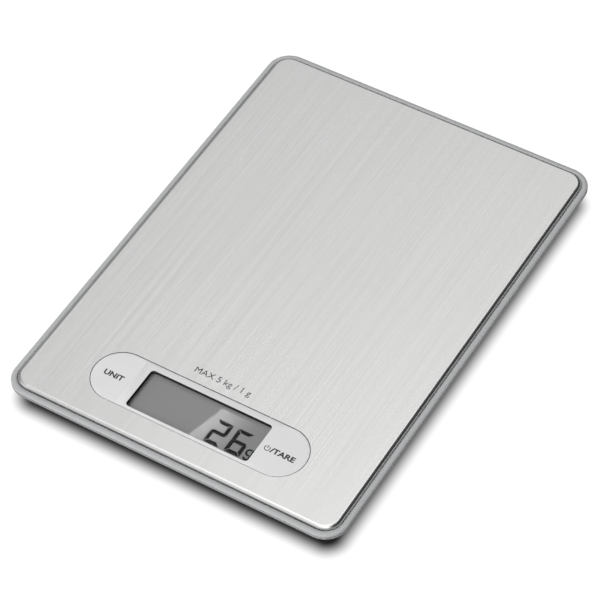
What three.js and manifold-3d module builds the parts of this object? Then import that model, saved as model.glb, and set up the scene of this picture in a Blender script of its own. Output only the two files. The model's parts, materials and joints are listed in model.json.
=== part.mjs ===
// Flat digital kitchen scale: a brushed steel platform bonded to a two-part plastic housing, with a display
// and two press keys under a film at the front, a coin cell below, and a load cell over each of four feet.
//
// Millimetres. The origin is on the table under the middle of the scale, +Z is up, +Y points to the back and
// +X to the right of a user who faces the display.
import * as THREE from "three";
import { ConvexGeometry } from "three/addons/geometries/ConvexGeometry.js";
import { mergeVertices } from "three/addons/utils/BufferGeometryUtils.js";
import Module from "manifold-3d";

const wasm = await Module();
wasm.setup();

// ---------------------------------------------------------------------------------------------------------
// Driving dimensions
// ---------------------------------------------------------------------------------------------------------

const OVERALL_WIDTH = 160;
const OVERALL_LENGTH = 219.6;
const OVERALL_HEIGHT = 15;
// Arc subdivision of extruded outlines; three.js cuts each arc into twice as many facets.
const CORNER_STEPS = 7;
const ROUND_STEPS = 3;
const SMALL_STEPS = 1;
const FLANK_STEPS = 6; // facets down the curved underside
const PLATE_ROLL_STEPS = 5; // facets over the platform's rolled edge
const RIM_ROLL_STEPS = 4;
const LATHE_STEPS = { screw: 12, foot: 20, blob: 24, coin: 32 }; // facets round a turned piece
const DOOR_PIN_SIDES = 16;
const BLOB_STEPS = 4;
const MERGE_TOLERANCE = 1e-4;
const OVERSHOOT = 1; // how far a cutting tool runs past what it cuts
const EMBED = 0.6; // how far a pillar, a rail or a bay wall is sunk in the floor

// Clearances
const REST_GAP = 0.05; // between faces that rest on each other
const FIT_GAP = 0.3; // between a piece and the pocket, slot or hole around it
const PANEL_GAP = 0.15; // round the film in its cut-out

// Steel platform. A "reach" is a distance outward from the edge of the platform's flat top.
const EDGE_REACH = 4.45; // to the outermost point of the housing
const FLAT_CORNER_RADIUS = 6;
const SHEET_THICKNESS = 0.5;
const BEND_RADIUS = 1.5; // outside radius of the rolled edge
const SKIRT_DEPTH = 2.1;
const ADHESIVE_THICKNESS = 0.2;
const ADHESIVE_INSET = 3;

// Housing
const GROOVE_WIDTH = 0.5; // visible gap between the steel skirt and the ledge
const LEDGE_DROP = 1.4; // from the platform's top to the ledge's inner edge
const LEDGE_SLOPE = 0.3;
const LEDGE_WIDTH = 1.5;
const RIM_ROUND = 0.5;
const PARTING_DROP = 2.45;
const PARTING_GAP = 0.1;
const RIM_DEPTH = 3.6; // from the platform's top to the lower edge of the rim
const RIM_WALL = 0.95;
const LIP_DROP = 0.2; // the top housing's lip below the rim
const DECK_WALL = 1.3;
const DECK_SIDE_WALL = 1.5;
const FLOOR_WALL = 1.6;
const FOOT_DROP = 2.4; // height of the housing's underside above the table
const UNDERSIDE_INSET = 10.45; // from the rim to the flat underside
const UNDERSIDE_CORNER_RADIUS = 12;
const UNDERSIDE_BULGE = [5.65, 7.2]; // control point of the curved flank: inward and down from the rim
const RIB_THICKNESS = 1.2;
const RIB_HEIGHT = 2.4;
const RIB_SPACING = 60;

// Panel, window and keys
const PANEL_END = 21.6; // from the window to each end of the panel
const PANEL_WIDTH = 25.5;
const PANEL_OFFSET_X = -0.2;
const PANEL_FROM_FRONT = 22.25; // from the front edge of the flat top to the panel's centre line
const FILM_THICKNESS = 0.3;
const WINDOW_WIDTH = 58.5;
const WINDOW_HEIGHT = 20.6;
const WINDOW_CORNER_RADIUS = 1.7;
const WINDOW_OFFSET = [0.45, -0.75]; // from the panel's centre
const LENS_THICKNESS = 1;
const LENS_MARGIN = 1.2; // how far the lens runs past the window on each side
const KEY_PAD_WIDTH = 12;
const KEY_PAD_LENGTH = 15;
const KEY_PAD_CORNER_RADIUS = 2;
const KEY_PAD_THICKNESS = 1.5;
const KEY_STEM_RADIUS = 2.4;
const KEY_OFFSET_Y = -0.75;
const KEY_FROM_WINDOW = { unit: -12.15, tare: 9.25 }; // from the window's nearer edge to a key's centre

// Display
const DISPLAY_MARGIN = [1.75, 2.2]; // of the glass cell round the window
const POLARISER_THICKNESS = 0.2;
const POLARISER_INSET = 0.6;
const GLASS_THICKNESS = 2.2;
const HOLDER_WALL = 2.4;
const STRIP_WIDTH = 2.4;
const STRIP_HEIGHT = 3.1;
const STRIP_END_INSET = 3;

// Board and switches
const BOARD_END = 3.8; // from a key's centre to the board's side edge
const BOARD_LENGTH = 30;
const BOARD_THICKNESS = 1.6;
const BOARD_CORNER_RADIUS = 1.5;
const BOARD_SCREW_INSET = [4, 3.5]; // from the board's sides and from its front edge
const BLOB_RADIUS = 6;
const BLOB_HEIGHT = 1;
const SWITCH_SIZE = 6;
const SWITCH_HEIGHT = 3.5;
const PLUNGER_RADIUS = 1.75;
const PLUNGER_SIDE_GAP = 0.1;
const PLUNGER_RISE = 0.75;
const KEY_TRAVEL = 0.3;

// Feet and load cells
const FOOT_INSET = [17.5, 18.5]; // from the flat top's side and end edges to a foot's axis
const FOOT_RADIUS = 7.4;
const FOOT_FLANGE_RADIUS = 8.9;
const FOOT_FLANGE_THICKNESS = 0.9;
const FOOT_BOSS_RADIUS = 2.5;
const FOOT_TRAVEL = 0.3;
const PAD_WALL = 0.6; // plastic left round the rubber pad
const PAD_DROP = 1.1; // how far the rubber stands below its shell
const PAD_SEAT = 0.7; // how far it sits inside
const CELL_SIZE = 24;
const CELL_THICKNESS = 1;
const CELL_FRAME = 4;
const CELL_TONGUE_WIDTH = 8;
const CELL_TONGUE_GAP = 3.5;
const CELL_TONGUE_ROOT = 1; // how far the tongue runs into the frame
const CELL_CORNER_RADIUS = 2;
const CELL_SEAT_HEIGHT = 1.95; // rails above the floor
const RAIL_WIDTH = 2.4;
const RAIL_LIP = 1.2;
const GAUGE_COAT = [6, 4.4, 0.8];
const GAUGE_COAT_CORNER_RADIUS = 1;

// Battery
const COIN_DIAMETER = 20;
const COIN_THICKNESS = 3.2;
const COIN_EDGE = 0.4;
const BAY_FROM_CENTRE = 30;
const BAY_WALL = 1.2;
const BAY_SIDE_ROOM = 3.5; // round the cell, for the positive contact
const BAY_HEADROOM = 1.3; // over the cell, for the negative contact
const DOOR_THICKNESS = 1.2;
const DOOR_LEDGE = 1.5;
const DOOR_CORNER_RADIUS = 2;
const DOOR_GAP = 0.4;
const DOOR_PIN_RADIUS = 0.55;
const DOOR_PIN_LENGTH = 1.1;
const DOOR_PIN_FROM_END = 1;
const DOOR_PIN_BARE_END = 1; // round part of the pin left at each side edge
const DOOR_NOTCH_RADIUS = 5;
const CONTACT_THICKNESS = 0.25;
const CONTACT_WIDTH = 6;
const CONTACT_BOW = 2; // sideways, at the free end of the positive leaf
const CONTACT_TAIL = 2; // past the bay's wall

// Screws
const HOUSING_SCREW = { shank: 1.25, head: 2.4, headHeight: 1.4, length: 6.2, slot: 0.6 };
const BOARD_SCREW = { shank: 0.9, head: 1.7, headHeight: 0.85, length: 6, slot: 0.45 };
const SCREW_FLAT_SHARE = 0.7; // of the head's radius
const SCREW_SHOULDER_SHARE = 0.5; // of the head's height
const RECESS_DEPTH_SHARE = 0.6;
const RECESS_SPAN_SHARE = 1.2;
const SCREW_SEAT_DEPTH = 2.4; // from the underside to the face that a screw head bears on
const PILLAR_RADIUS = 3.8;
const PILLAR_HEIGHT = 2.6; // above the floor
const HOUSING_BOSS_RADIUS = 3;
const BOARD_BOSS_RADIUS = 2.4;
const SCREW_INSET = [13.5, 43.35]; // corner screws, from the flat top's side and end edges
const CENTRE_SCREW_INSET = { back: 13.35, front: 45.35 };

// Leads
const LEAD_RADIUS = { cell: 0.9, battery: 0.6 };
const LEAD_SIDES = 6;
const LEAD_STEP = 8; // length of one facet along a lead
const LEAD_LANDINGS = { front: 1.4, back: 3.9, battery: 6.2 }; // from the board's side edge
const LEAD_LIFT = 0.6; // above the floor
const LEAD_BEND_STEPS = 4; // facets added to each lead for its bends
const LEAD_DROP_RUN = 5; // from a load cell down to the floor
const LEAD_CROSSING = 16; // from a back load cell to the straight run
const LEAD_TURN = [4, 9]; // a front lead's bend: inward from the foot's axis, and behind the board
const LEAD_STRAIGHT_END = 25; // behind the board
const LEAD_RISE_START = 7; // behind the board
const LEAD_RISE = 0.8;
const LEAD_LAP = 2; // over the board
const BATTERY_LEAD_X = 22;
const POSITIVE_LEAD_BEND = { x: 1, y: -8, z: 0.4 };
const NEGATIVE_LEAD_BEND = { x: -4, y: -5, z: 1 };

// ---------------------------------------------------------------------------------------------------------
// Derived levels and places
// ---------------------------------------------------------------------------------------------------------

const flatWidth = OVERALL_WIDTH - 2 * EDGE_REACH;
const flatLength = OVERALL_LENGTH - 2 * EDGE_REACH;

const plateTop = OVERALL_HEIGHT;
const plateUnder = plateTop - SHEET_THICKNESS;
const skirtBottom = plateTop - SKIRT_DEPTH;
const skirtInnerReach = BEND_RADIUS - SHEET_THICKNESS;
const adhesiveTop = plateUnder - REST_GAP;
const deckTop = adhesiveTop - ADHESIVE_THICKNESS - REST_GAP;
const deckUnder = deckTop - DECK_WALL;
const ledgeInnerReach = BEND_RADIUS + GROOVE_WIDTH;
const ledgeTop = plateTop - LEDGE_DROP;
const ledgeOuterReach = ledgeInnerReach + LEDGE_WIDTH;
const partingTop = plateTop - PARTING_DROP;
const grooveFloor = skirtBottom - FIT_GAP;
const rimBottom = plateTop - RIM_DEPTH;
const lipReach = EDGE_REACH - RIM_WALL - FIT_GAP;
const lipBottom = rimBottom - LIP_DROP;
const undersideZ = FOOT_DROP;
const floorTop = undersideZ + FLOOR_WALL;

const panelLength = WINDOW_WIDTH + 2 * PANEL_END;
const panelX = PANEL_OFFSET_X;
const panelY = -flatLength / 2 + PANEL_FROM_FRONT;
const windowX = panelX + WINDOW_OFFSET[0];
const windowY = panelY + WINDOW_OFFSET[1];
const filmTop = plateTop - REST_GAP;
const filmUnder = filmTop - FILM_THICKNESS;
const islandTop = filmUnder - REST_GAP;
const lensTop = islandTop;
const lensUnder = lensTop - LENS_THICKNESS;
const keyX = {
  unit: windowX - WINDOW_WIDTH / 2 + KEY_FROM_WINDOW.unit,
  tare: windowX + WINDOW_WIDTH / 2 + KEY_FROM_WINDOW.tare,
};
const keyY = panelY + KEY_OFFSET_Y;

const displayWidth = WINDOW_WIDTH + 2 * DISPLAY_MARGIN[0];
const displayHeight = WINDOW_HEIGHT + 2 * DISPLAY_MARGIN[1];
const polariserTop = deckUnder - FIT_GAP;
const glassTop = polariserTop - POLARISER_THICKNESS - REST_GAP;
const glassUnder = glassTop - GLASS_THICKNESS;
const boardTop = glassUnder - STRIP_HEIGHT - REST_GAP;
const boardUnder = boardTop - BOARD_THICKNESS;
const boardX = (keyX.unit + keyX.tare) / 2;
const boardWidth = keyX.tare - keyX.unit + 2 * BOARD_END;
const boardY = windowY;
const boardBack = boardY + BOARD_LENGTH / 2;
const stripY = displayHeight / 2 - STRIP_WIDTH / 2 - FIT_GAP;
const switchTop = boardTop + REST_GAP + SWITCH_HEIGHT;
const plungerTop = switchTop + PLUNGER_RISE;

const footX = flatWidth / 2 - FOOT_INSET[0];
const footY = flatLength / 2 - FOOT_INSET[1];
const cellUnder = floorTop + CELL_SEAT_HEIGHT + REST_GAP;
const cellTop = cellUnder + CELL_THICKNESS;

const coinRadius = COIN_DIAMETER / 2;
const doorTop = undersideZ + DOOR_THICKNESS;
const coinUnder = doorTop + FIT_GAP;
const coinTop = coinUnder + COIN_THICKNESS;
const bayCeiling = coinTop + BAY_HEADROOM;
const bayWidth = COIN_DIAMETER + 2 * BAY_SIDE_ROOM;
const bayLength = COIN_DIAMETER + 2 * BAY_SIDE_ROOM;
const doorWidth = bayWidth + 2 * DOOR_LEDGE;
const doorLength = bayLength + 2 * DOOR_LEDGE;
const bayY = BAY_FROM_CENTRE;
const recessWidth = doorWidth + 2 * DOOR_GAP;
const recessLength = doorLength + 2 * DOOR_GAP;
const doorPinY = bayY + doorLength / 2 - DOOR_PIN_FROM_END;
const doorPinZ = undersideZ + DOOR_THICKNESS / 2;

const screwSeat = undersideZ + SCREW_SEAT_DEPTH;
const pillarTop = floorTop + PILLAR_HEIGHT;
const screwX = flatWidth / 2 - SCREW_INSET[0];
const screwY = flatLength / 2 - SCREW_INSET[1];
const housingScrews = {
  front_left: [-screwX, -screwY],
  front_right: [screwX, -screwY],
  back_left: [-screwX, screwY],
  back_right: [screwX, screwY],
  front_middle: [0, -flatLength / 2 + CENTRE_SCREW_INSET.front],
  back_middle: [0, flatLength / 2 - CENTRE_SCREW_INSET.back],
};
const boardScrewY = boardY - BOARD_LENGTH / 2 + BOARD_SCREW_INSET[1];
const boardScrewX = boardWidth / 2 - BOARD_SCREW_INSET[0];
const boardScrews = {
  left: [boardX - boardScrewX, boardScrewY],
  right: [boardX + boardScrewX, boardScrewY],
};
const corners = {
  front_left: [-1, -1],
  front_right: [1, -1],
  back_left: [-1, 1],
  back_right: [1, 1],
};

// ---------------------------------------------------------------------------------------------------------
// Solids
// ---------------------------------------------------------------------------------------------------------

// A closed three.js geometry as a solid that can be joined and cut.
function solid(geometry) {
  const bare = new THREE.BufferGeometry();
  bare.setAttribute("position", geometry.getAttribute("position"));
  bare.setIndex(geometry.index);
  const merged = mergeVertices(bare, MERGE_TOLERANCE);
  const kept = [];
  const index = merged.index.array;
  for (let i = 0; i < index.length; i += 3) {
    const [a, b, c] = index.slice(i, i + 3);
    if (a !== b && b !== c && c !== a) kept.push(a, b, c);
  }
  return new wasm.Manifold(
    new wasm.Mesh({
      numProp: 3,
      vertProperties: merged.getAttribute("position").array,
      triVerts: new Uint32Array(kept),
    }),
  );
}

function geometryOf(made) {
  const mesh = made.getMesh();
  const geometry = new THREE.BufferGeometry();
  geometry.setAttribute("position", new THREE.BufferAttribute(mesh.vertProperties, 3));
  geometry.setIndex(new THREE.BufferAttribute(mesh.triVerts, 1));
  const faceted = geometry.toNonIndexed();
  faceted.computeVertexNormals();
  return faceted;
}

function roundedRectangle(width, length, radius, x = 0, y = 0) {
  const [left, right] = [x - width / 2 + radius, x + width / 2 - radius];
  const [front, back] = [y - length / 2 + radius, y + length / 2 - radius];
  const quarter = Math.PI / 2;
  return new THREE.Shape()
    .absarc(right, back, radius, 0, quarter)
    .absarc(left, back, radius, quarter, 2 * quarter)
    .absarc(left, front, radius, 2 * quarter, 3 * quarter)
    .absarc(right, front, radius, 3 * quarter, 4 * quarter);
}

function rectangle(width, length, x = 0, y = 0) {
  return new THREE.Shape([
    new THREE.Vector2(x - width / 2, y - length / 2),
    new THREE.Vector2(x + width / 2, y - length / 2),
    new THREE.Vector2(x + width / 2, y + length / 2),
    new THREE.Vector2(x - width / 2, y + length / 2),
  ]);
}

const disc = (radius, x, y) => roundedRectangle(2 * radius, 2 * radius, radius, x, y);

// The scale's plan outline, moved outward from the edge of the flat top.
function outline(reach) {
  return roundedRectangle(flatWidth + 2 * reach, flatLength + 2 * reach, FLAT_CORNER_RADIUS + reach);
}

// The panel's stadium outline, moved inward.
function panelOutline(inset) {
  const width = PANEL_WIDTH - 2 * inset;
  return roundedRectangle(panelLength - 2 * inset, width, width / 2, panelX, panelY);
}

function windowOutline(margin) {
  return roundedRectangle(
    WINDOW_WIDTH + 2 * margin,
    WINDOW_HEIGHT + 2 * margin,
    WINDOW_CORNER_RADIUS + margin,
    windowX,
    windowY,
  );
}

function prism(shape, bottom, top, steps = CORNER_STEPS) {
  const geometry = new THREE.ExtrudeGeometry(shape, {
    depth: top - bottom,
    bevelEnabled: false,
    curveSegments: steps,
  });
  return solid(geometry.translate(0, 0, bottom));
}

const cylinder = (radius, x, y, bottom, top) => prism(disc(radius, x, y), bottom, top, ROUND_STEPS);

// A slab whose top edge rolls outward from the shape by width over the given height; its lower edge is cut.
function rolledSlab(shape, bottom, top, width, height, steps) {
  const geometry = new THREE.ExtrudeGeometry(shape, {
    depth: top - height - bottom,
    bevelEnabled: true,
    bevelSize: width,
    bevelThickness: height,
    bevelSegments: steps,
    curveSegments: CORNER_STEPS,
  });
  const below = rectangle(2 * OVERALL_WIDTH, 2 * OVERALL_LENGTH);
  return solid(geometry.translate(0, 0, bottom)).subtract(prism(below, bottom - 2 * height, bottom));
}

// A solid of revolution about a vertical axis. Its profile runs from the axis at the bottom to the axis at
// the top.
function turned(profile, steps, x = 0, y = 0) {
  const points = profile.map(([radius, z]) => new THREE.Vector2(radius, z));
  const geometry = new THREE.LatheGeometry(points, steps).rotateX(Math.PI / 2);
  return solid(geometry.translate(x, y, 0));
}

// A bent strip of even thickness, given by its centre line and drawn as a shape.
function stripShape(points, thickness) {
  const line = points.map(([u, v]) => new THREE.Vector2(u, v));
  const sides = line.map((point, i) => {
    const before = line[Math.max(i - 1, 0)];
    const after = line[Math.min(i + 1, line.length - 1)];
    const along = after.clone().sub(before).normalize();
    return new THREE.Vector2(-along.y, along.x).multiplyScalar(thickness / 2);
  });
  const leftSide = line.map((point, i) => point.clone().add(sides[i]));
  const rightSide = line.map((point, i) => point.clone().sub(sides[i]));
  return new THREE.Shape([...rightSide, ...leftSide.reverse()]);
}

// A round lead along a smooth curve through the points.
function lead(points, radius) {
  const places = points.map((point) => new THREE.Vector3(...point));
  const path = new THREE.CatmullRomCurve3(places, false, "centripetal");
  const section = new THREE.Shape();
  for (let i = 0; i < LEAD_SIDES; i++) {
    const angle = (2 * Math.PI * i) / LEAD_SIDES;
    const [u, v] = [radius * Math.cos(angle), radius * Math.sin(angle)];
    if (i === 0) section.moveTo(u, v);
    else section.lineTo(u, v);
  }
  const steps = Math.round(path.getLength() / LEAD_STEP) + LEAD_BEND_STEPS;
  return solid(new THREE.ExtrudeGeometry(section, { extrudePath: path, steps }));
}

// A convex shell body through plan outlines of growing size: rows of [reach, z, corner radius].
function loft(levels) {
  const points = levels.flatMap(([reach, z, radius]) =>
    roundedRectangle(flatWidth + 2 * reach, flatLength + 2 * reach, radius)
      .getPoints(CORNER_STEPS)
      .map((p) => new THREE.Vector3(p.x, p.y, z)),
  );
  return solid(new ConvexGeometry(points));
}

const joined = (...parts) => parts.reduce((whole, part) => whole.add(part));
const cut = (whole, ...tools) => tools.reduce((rest, tool) => rest.subtract(tool), whole);

// ---------------------------------------------------------------------------------------------------------
// Platform and housing
// ---------------------------------------------------------------------------------------------------------

function steelPlatform() {
  const outside = rolledSlab(outline(0), skirtBottom, plateTop, BEND_RADIUS, BEND_RADIUS, PLATE_ROLL_STEPS);
  const inside = rolledSlab(
    outline(0),
    skirtBottom - OVERSHOOT,
    plateUnder,
    skirtInnerReach,
    skirtInnerReach,
    PLATE_ROLL_STEPS - 1,
  );
  return cut(outside, inside, prism(panelOutline(0), skirtBottom, plateTop + OVERSHOOT));
}

function platformAdhesive() {
  const sheet = prism(outline(-ADHESIVE_INSET), adhesiveTop - ADHESIVE_THICKNESS, adhesiveTop);
  return cut(sheet, prism(panelOutline(-ADHESIVE_INSET), deckTop, plateTop));
}

function topHousing() {
  const rimTop = ledgeTop - LEDGE_SLOPE;
  const round = EDGE_REACH - ledgeOuterReach;
  const rim = rolledSlab(outline(ledgeOuterReach), partingTop, rimTop, round, RIM_ROUND, RIM_ROLL_STEPS);
  const ledge = rolledSlab(outline(ledgeInnerReach), partingTop, ledgeTop, LEDGE_WIDTH, LEDGE_SLOPE, 1);
  const lip = prism(outline(lipReach), lipBottom, rimTop);
  const groove = prism(outline(ledgeInnerReach), grooveFloor, plateTop);
  const deckReach = skirtInnerReach - REST_GAP - FIT_GAP;
  const deck = prism(outline(deckReach), lipBottom, deckTop);
  const hollow = prism(outline(deckReach - DECK_SIDE_WALL), lipBottom - OVERSHOOT, deckUnder);
  const island = prism(panelOutline(FIT_GAP), deckUnder, islandTop);
  const shell = joined(cut(joined(rim, ledge, lip), groove), deck, island);
  return cut(joined(cut(shell, hollow), ...deckRibs(), ...deckBosses()), ...panelCuts(), ...pilotHoles());
}

function deckRibs() {
  const start = panelY + PANEL_WIDTH / 2 + BOARD_LENGTH / 2;
  const end = flatLength / 2 - ADHESIVE_INSET;
  return [-1, 1].map((side) => {
    const shape = rectangle(RIB_THICKNESS, end - start, (side * RIB_SPACING) / 2, (start + end) / 2);
    return prism(shape, deckUnder - RIB_HEIGHT, deckUnder + REST_GAP);
  });
}

function deckBosses() {
  const housing = Object.values(housingScrews).map(([x, y]) =>
    cylinder(HOUSING_BOSS_RADIUS, x, y, pillarTop + FIT_GAP, deckUnder + REST_GAP),
  );
  const board = Object.values(boardScrews).map(([x, y]) =>
    cylinder(BOARD_BOSS_RADIUS, x, y, boardTop + REST_GAP, deckUnder + REST_GAP),
  );
  return [...housing, ...board];
}

function pilotHoles() {
  const housing = Object.values(housingScrews).map(([x, y]) =>
    cylinder(HOUSING_SCREW.shank + REST_GAP, x, y, undersideZ, screwSeat + HOUSING_SCREW.length + FIT_GAP),
  );
  const board = Object.values(boardScrews).map(([x, y]) =>
    cylinder(BOARD_SCREW.shank + REST_GAP, x, y, boardUnder, boardUnder + BOARD_SCREW.length + FIT_GAP),
  );
  return [...housing, ...board];
}

function keyHole(name) {
  const gap = 2 * FIT_GAP;
  const [width, length] = [KEY_PAD_WIDTH + gap, KEY_PAD_LENGTH + gap];
  return roundedRectangle(width, length, KEY_PAD_CORNER_RADIUS + FIT_GAP, keyX[name], keyY);
}

function panelCuts() {
  return [
    prism(windowOutline(0), deckUnder - OVERSHOOT, plateTop),
    prism(windowOutline(LENS_MARGIN + PANEL_GAP), lensUnder - REST_GAP, plateTop),
    prism(keyHole("unit"), deckUnder - OVERSHOOT, plateTop, SMALL_STEPS),
    prism(keyHole("tare"), deckUnder - OVERSHOOT, plateTop, SMALL_STEPS),
  ];
}

// Points of the curved flank between the rim and the flat underside, as [reach, z, corner radius].
function flank(inset, lift, steps) {
  const [inward, down] = UNDERSIDE_BULGE;
  const edge = EDGE_REACH - inset;
  const start = new THREE.Vector2(edge, rimBottom);
  const control = new THREE.Vector2(edge - inward, rimBottom - down + lift);
  const end = new THREE.Vector2(edge - UNDERSIDE_INSET, undersideZ + lift);
  const rimRadius = FLAT_CORNER_RADIUS + edge;
  return new THREE.QuadraticBezierCurve(start, control, end).getPoints(steps).map((p, i) => {
    const share = i / steps;
    return [p.x, p.y, rimRadius + share * (UNDERSIDE_CORNER_RADIUS - inset - rimRadius)];
  });
}

function bottomHousing() {
  const partingBottom = partingTop - PARTING_GAP;
  const rimRadius = FLAT_CORNER_RADIUS + EDGE_REACH;
  const outside = loft([[EDGE_REACH, partingBottom, rimRadius], ...flank(0, 0, FLANK_STEPS)]);
  const mouth = [EDGE_REACH - RIM_WALL, plateTop, rimRadius - RIM_WALL];
  const inside = loft([mouth, ...flank(RIM_WALL, FLOOR_WALL, FLANK_STEPS)]);
  const fixtures = joined(...screwPillars(), ...cellRails(), batteryBay()).intersect(outside);
  return cut(
    joined(cut(outside, inside), fixtures),
    ...screwHoles(),
    ...footHoles(),
    ...batteryCuts(),
  );
}

function screwPillars() {
  return Object.values(housingScrews).map(([x, y]) =>
    cylinder(PILLAR_RADIUS, x, y, floorTop - EMBED, pillarTop),
  );
}

function screwHoles() {
  return Object.values(housingScrews).flatMap(([x, y]) => [
    cylinder(HOUSING_SCREW.head + FIT_GAP, x, y, undersideZ - OVERSHOOT, screwSeat + REST_GAP),
    cylinder(HOUSING_SCREW.shank + FIT_GAP, x, y, undersideZ, pillarTop + OVERSHOOT),
  ]);
}

// Two rails carry each load cell's side bars; the outer one has a lip that locates the cell.
function cellRails() {
  const length = CELL_SIZE - 2 * CELL_CORNER_RADIUS;
  const root = floorTop - EMBED;
  const seat = cellUnder - REST_GAP;
  return Object.values(corners).flatMap(([sideX, sideY]) => {
    const y = sideY * footY;
    const railReach = (CELL_SIZE - RAIL_WIDTH) / 2;
    const lipReach = CELL_SIZE / 2 + FIT_GAP + RAIL_LIP / 2;
    const outerWidth = RAIL_WIDTH + FIT_GAP + RAIL_LIP;
    const outerReach = CELL_SIZE / 2 - RAIL_WIDTH + outerWidth / 2;
    return [
      prism(rectangle(RAIL_WIDTH, length, sideX * (footX - railReach), y), root, seat),
      prism(rectangle(outerWidth, length, sideX * (footX + outerReach), y), root, seat),
      prism(rectangle(RAIL_LIP, length, sideX * (footX + lipReach), y), root, cellTop),
    ];
  });
}

function footHoles() {
  const [bottom, top] = [undersideZ - OVERSHOOT, floorTop + OVERSHOOT];
  return Object.values(corners).map(([sideX, sideY]) =>
    cylinder(FOOT_RADIUS + FIT_GAP, sideX * footX, sideY * footY, bottom, top),
  );
}

function batteryBay() {
  const outside = rectangle(recessWidth + 2 * BAY_WALL, recessLength + 2 * BAY_WALL, 0, bayY);
  return prism(outside, floorTop - EMBED, bayCeiling + BAY_WALL);
}

// The bay, the door's recess, room for the door's turning end, its pin notches, a finger notch and two slots.
function batteryCuts() {
  const recess = roundedRectangle(recessWidth, recessLength, DOOR_CORNER_RADIUS, 0, bayY);
  const turningDepth = 2 * DOOR_PIN_FROM_END + DOOR_GAP;
  const turningY = bayY + recessLength / 2 - turningDepth / 2;
  const notchWidth = doorWidth + 2 * (DOOR_PIN_LENGTH + FIT_GAP);
  const notchLength = 2 * (DOOR_PIN_RADIUS + FIT_GAP);
  const notchTop = doorPinZ + DOOR_PIN_RADIUS + FIT_GAP;
  const slotX = recessWidth / 2;
  const slotZ = coinTop + BAY_HEADROOM / 2;
  const below = undersideZ - OVERSHOOT;
  return [
    prism(rectangle(bayWidth, bayLength, 0, bayY), below, bayCeiling),
    prism(recess, below, doorTop + REST_GAP),
    prism(rectangle(recessWidth, turningDepth, 0, turningY), below, doorTop + DOOR_THICKNESS),
    prism(rectangle(notchWidth, notchLength, 0, doorPinY), below, notchTop),
    cylinder(DOOR_NOTCH_RADIUS, 0, bayY - recessLength / 2, below, undersideZ + DOOR_THICKNESS / 2),
    prism(
      rectangle(recessWidth, CONTACT_THICKNESS + 2 * FIT_GAP, slotX, positiveTabY()),
      coinUnder,
      coinTop + FIT_GAP,
    ),
    prism(
      rectangle(CONTACT_WIDTH + 2 * FIT_GAP, recessLength, 0, bayY - recessLength / 2),
      slotZ - CONTACT_THICKNESS / 2 - FIT_GAP,
      slotZ + CONTACT_THICKNESS / 2 + FIT_GAP,
    ),
  ];
}

// ---------------------------------------------------------------------------------------------------------
// Panel, display and board
// ---------------------------------------------------------------------------------------------------------

function overlayFilm() {
  const sheet = prism(panelOutline(PANEL_GAP), filmUnder, filmTop);
  return cut(sheet, prism(windowOutline(0), filmUnder - OVERSHOOT, filmTop + OVERSHOOT));
}

const displayLens = () => prism(windowOutline(LENS_MARGIN), lensUnder, lensTop);

function keyPad(name) {
  const x = keyX[name];
  const pad = roundedRectangle(KEY_PAD_WIDTH, KEY_PAD_LENGTH, KEY_PAD_CORNER_RADIUS, x, keyY);
  const under = islandTop - KEY_PAD_THICKNESS;
  const stem = cylinder(KEY_STEM_RADIUS, x, keyY, plungerTop + REST_GAP, under + REST_GAP);
  return joined(prism(pad, under, islandTop, SMALL_STEPS), stem);
}

function displaySheet(inset, bottom, top) {
  const [width, height] = [displayWidth - 2 * inset[0], displayHeight - 2 * inset[1]];
  return prism(rectangle(width, height, windowX, windowY), bottom, top);
}

function displayHolder() {
  const opening = [displayWidth + 2 * FIT_GAP, displayHeight + 2 * FIT_GAP];
  const outside = roundedRectangle(
    opening[0] + 2 * HOLDER_WALL,
    opening[1] + 2 * HOLDER_WALL,
    HOLDER_WALL / 2,
    windowX,
    windowY,
  );
  const frame = prism(outside, boardTop + REST_GAP, glassTop, SMALL_STEPS);
  const inside = rectangle(...opening, windowX, windowY);
  return cut(frame, prism(inside, boardTop - OVERSHOOT, glassTop + OVERSHOOT));
}

function conductiveStrip(side) {
  const shape = rectangle(displayWidth - 2 * STRIP_END_INSET, STRIP_WIDTH, windowX, windowY + side * stripY);
  return prism(shape, boardTop + REST_GAP, glassUnder - REST_GAP);
}

function mainBoard() {
  const shape = roundedRectangle(boardWidth, BOARD_LENGTH, BOARD_CORNER_RADIUS, boardX, boardY);
  const holes = Object.values(boardScrews).map(([x, y]) =>
    cylinder(BOARD_SCREW.shank + FIT_GAP, x, y, boardUnder - OVERSHOOT, boardTop + OVERSHOOT),
  );
  return cut(prism(shape, boardUnder, boardTop, SMALL_STEPS), ...holes);
}

function controllerBlob() {
  const top = boardUnder - REST_GAP;
  const dome = Array.from({ length: BLOB_STEPS + 1 }, (_, i) => {
    const angle = ((i / BLOB_STEPS) * Math.PI) / 2;
    return [BLOB_RADIUS * Math.sin(angle), top - BLOB_HEIGHT * Math.cos(angle)];
  });
  return turned([...dome, [0, top]], LATHE_STEPS.blob, windowX, boardY);
}

function switchBody(name) {
  const [x, y] = [keyX[name], keyY];
  const body = prism(rectangle(SWITCH_SIZE, SWITCH_SIZE, x, y), boardTop + REST_GAP, switchTop);
  const wellBottom = switchTop - PLUNGER_RISE - 2 * KEY_TRAVEL;
  const wellRadius = PLUNGER_RADIUS + PLUNGER_SIDE_GAP;
  return cut(body, cylinder(wellRadius, x, y, wellBottom, switchTop + OVERSHOOT));
}

function switchPlunger(name) {
  const x = keyX[name];
  return cylinder(PLUNGER_RADIUS, x, keyY, switchTop - PLUNGER_RISE, plungerTop);
}

// ---------------------------------------------------------------------------------------------------------
// Feet and load cells
// ---------------------------------------------------------------------------------------------------------

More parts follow.
